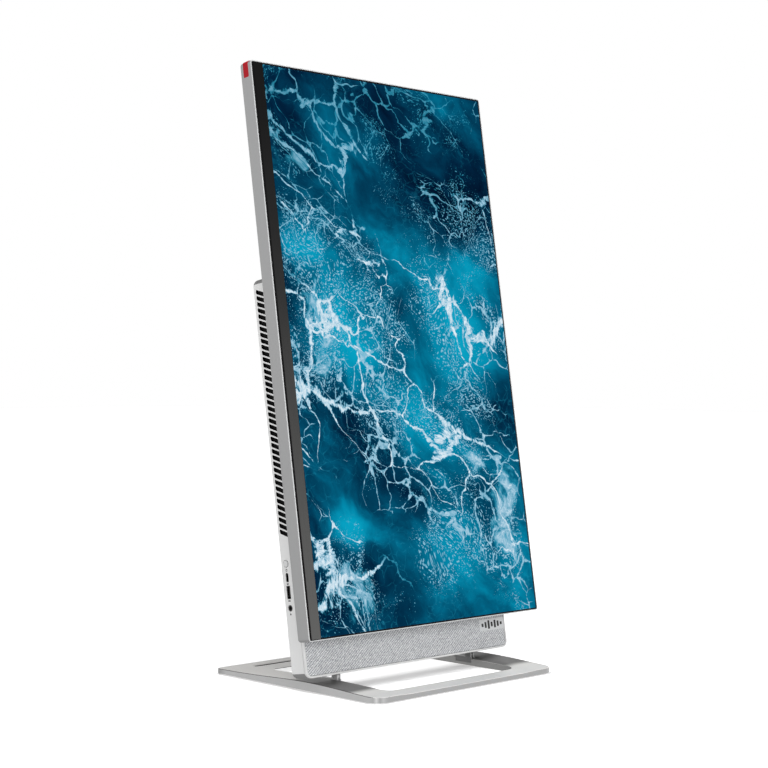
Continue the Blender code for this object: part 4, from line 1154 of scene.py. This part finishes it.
def make_camera():
    data = bpy.data.cameras.new("camera")
    data.lens = LENS
    data.sensor_width = 36.0
    data.clip_end = 50.0
    camera = bpy.data.objects.new("camera", data)
    bpy.context.scene.collection.objects.link(camera)
    forward = Vector((math.sin(CAMERA_YAW) * math.cos(CAMERA_PITCH),
                      math.cos(CAMERA_YAW) * math.cos(CAMERA_PITCH), math.sin(CAMERA_PITCH)))
    level = Vector((math.cos(CAMERA_YAW), -math.sin(CAMERA_YAW), 0.0))
    upright = level.cross(forward)
    right = level * math.cos(CAMERA_ROLL) + upright * math.sin(CAMERA_ROLL)
    up = right.cross(forward)
    camera.matrix_world = Matrix.Translation(CAMERA_PLACE) @ Matrix((right, up, -forward)).transposed().to_4x4()
    bpy.context.scene.camera = camera


def make_area_light(name, place, target, size, power):
    data = bpy.data.lights.new(name, "AREA")
    data.shape = "RECTANGLE"
    data.size, data.size_y = size
    data.energy = power
    light = bpy.data.objects.new(name, data)
    bpy.context.scene.collection.objects.link(light)
    light.location = place
    light.visible_glossy = False
    light.rotation_euler = (Vector(target) - Vector(place)).to_track_quat("-Z", "Y").to_euler()


def make_world():
    """White behind the object. What lights it is a bright band at eye level, dimmer above and below."""
    world = bpy.data.worlds.new("studio")
    bpy.context.scene.world = world
    world.use_nodes = True
    nodes = world.node_tree.nodes
    height = part(nodes.new("ShaderNodeTexCoord").outputs["Generated"], "Z")
    band = ramp(remap(height, -1.0, 1.0), [((z + 1) / 2, level) for z, level in LIGHT_BAND])
    seen = nodes.new("ShaderNodeLightPath").outputs["Is Camera Ray"]
    feed(nodes["Background"], color=blend_colours(seen, band, (1.0, 1.0, 1.0)))


def edge_distance(place, reaches, radius):
    """How far a place on the floor is from the edge of a centred rectangle with round corners."""
    beyond = {axis: math_node("MAXIMUM", minus(unsigned(part(place, axis)), reach - radius), 0.0)
              for axis, reach in zip("XY", reaches)}
    far = vector_node("LENGTH", add("CombineXYZ", beyond).outputs[0], output="Value")
    return unsigned(minus(far, radius))


def make_floor_material():
    """Pale, and it glows enough to meet the white behind it, less near the object, with painted shadow in a band
    under the computer and along the stand's edge.
    """
    material, shader, place = new_material("pale_floor", roughness=0.75, emission_strength=1.0)
    base = ramp(noise(place, 35.0, 4.0, 0.6), [(0.3, 0.88), (0.7, 0.92)])
    # Painted shadow: a band under the computer inside the stand's window, and a contact shadow along the stand's
    # outer edge.
    in_window = remap(unsigned(part(place, "X")), 0.106, 0.118, 1.0, 0.0)
    under = unsigned(minus(part(place, "Y"), STAND_SHADE_Y))
    band = times(in_window, remap(under, 0.004, 0.040, FLOOR_SHADOW_BAND, 0.0, smooth=True))
    glow = remap(vector_node("LENGTH", place, output="Value"), 0.15, 1.3, FLOOR_GLOW, 1.0, smooth=True)
    stand_x, stand_y, _ = spans("base_ring", "stand")
    near = edge_distance(place, (stand_x[1], stand_y[1]), CONTACT_CORNER)
    contact = remap(near, 0.0, 0.0045, 0.35, 1.0)
    feed(shader, base_color=blend_colours(contact, (0.25, 0.25, 0.25), base),
         emission_color=times(minus(glow, band), contact))
    return material


def make_floor():
    """The floor throws no light back on the object."""
    floor = new_object("floor", lambda mesh: bmesh.ops.create_grid(mesh, x_segments=4, y_segments=4,
                                                                   size=FLOOR_HALF_SIZE), Matrix.Identity(4))
    floor.data.materials.append(make_floor_material())
    floor.visible_diffuse = False
    floor.visible_glossy = False


def make_studio():
    make_world()
    make_floor()
    for name, values in AREA_LIGHTS.items():
        make_area_light(name, *values)
    bpy.context.scene.view_settings.view_transform = "Standard"


MATERIALS = {name: speckled_surface(name, *values) for name, values in PLAIN_FINISHES.items()}
MATERIALS.update(screen_glass=make_screen_picture(), chin_gloss=make_chin_gloss(), fabric=make_speaker_cloth(),
                 stand_metal=make_stand_metal(), stand_side=make_stand_side(), circuit_board=make_circuit_board())

make_camera()
make_studio()
make_display()
make_rear_cover()
make_body_front()
make_side_controls()
make_stand()
dress_cad_nodes()
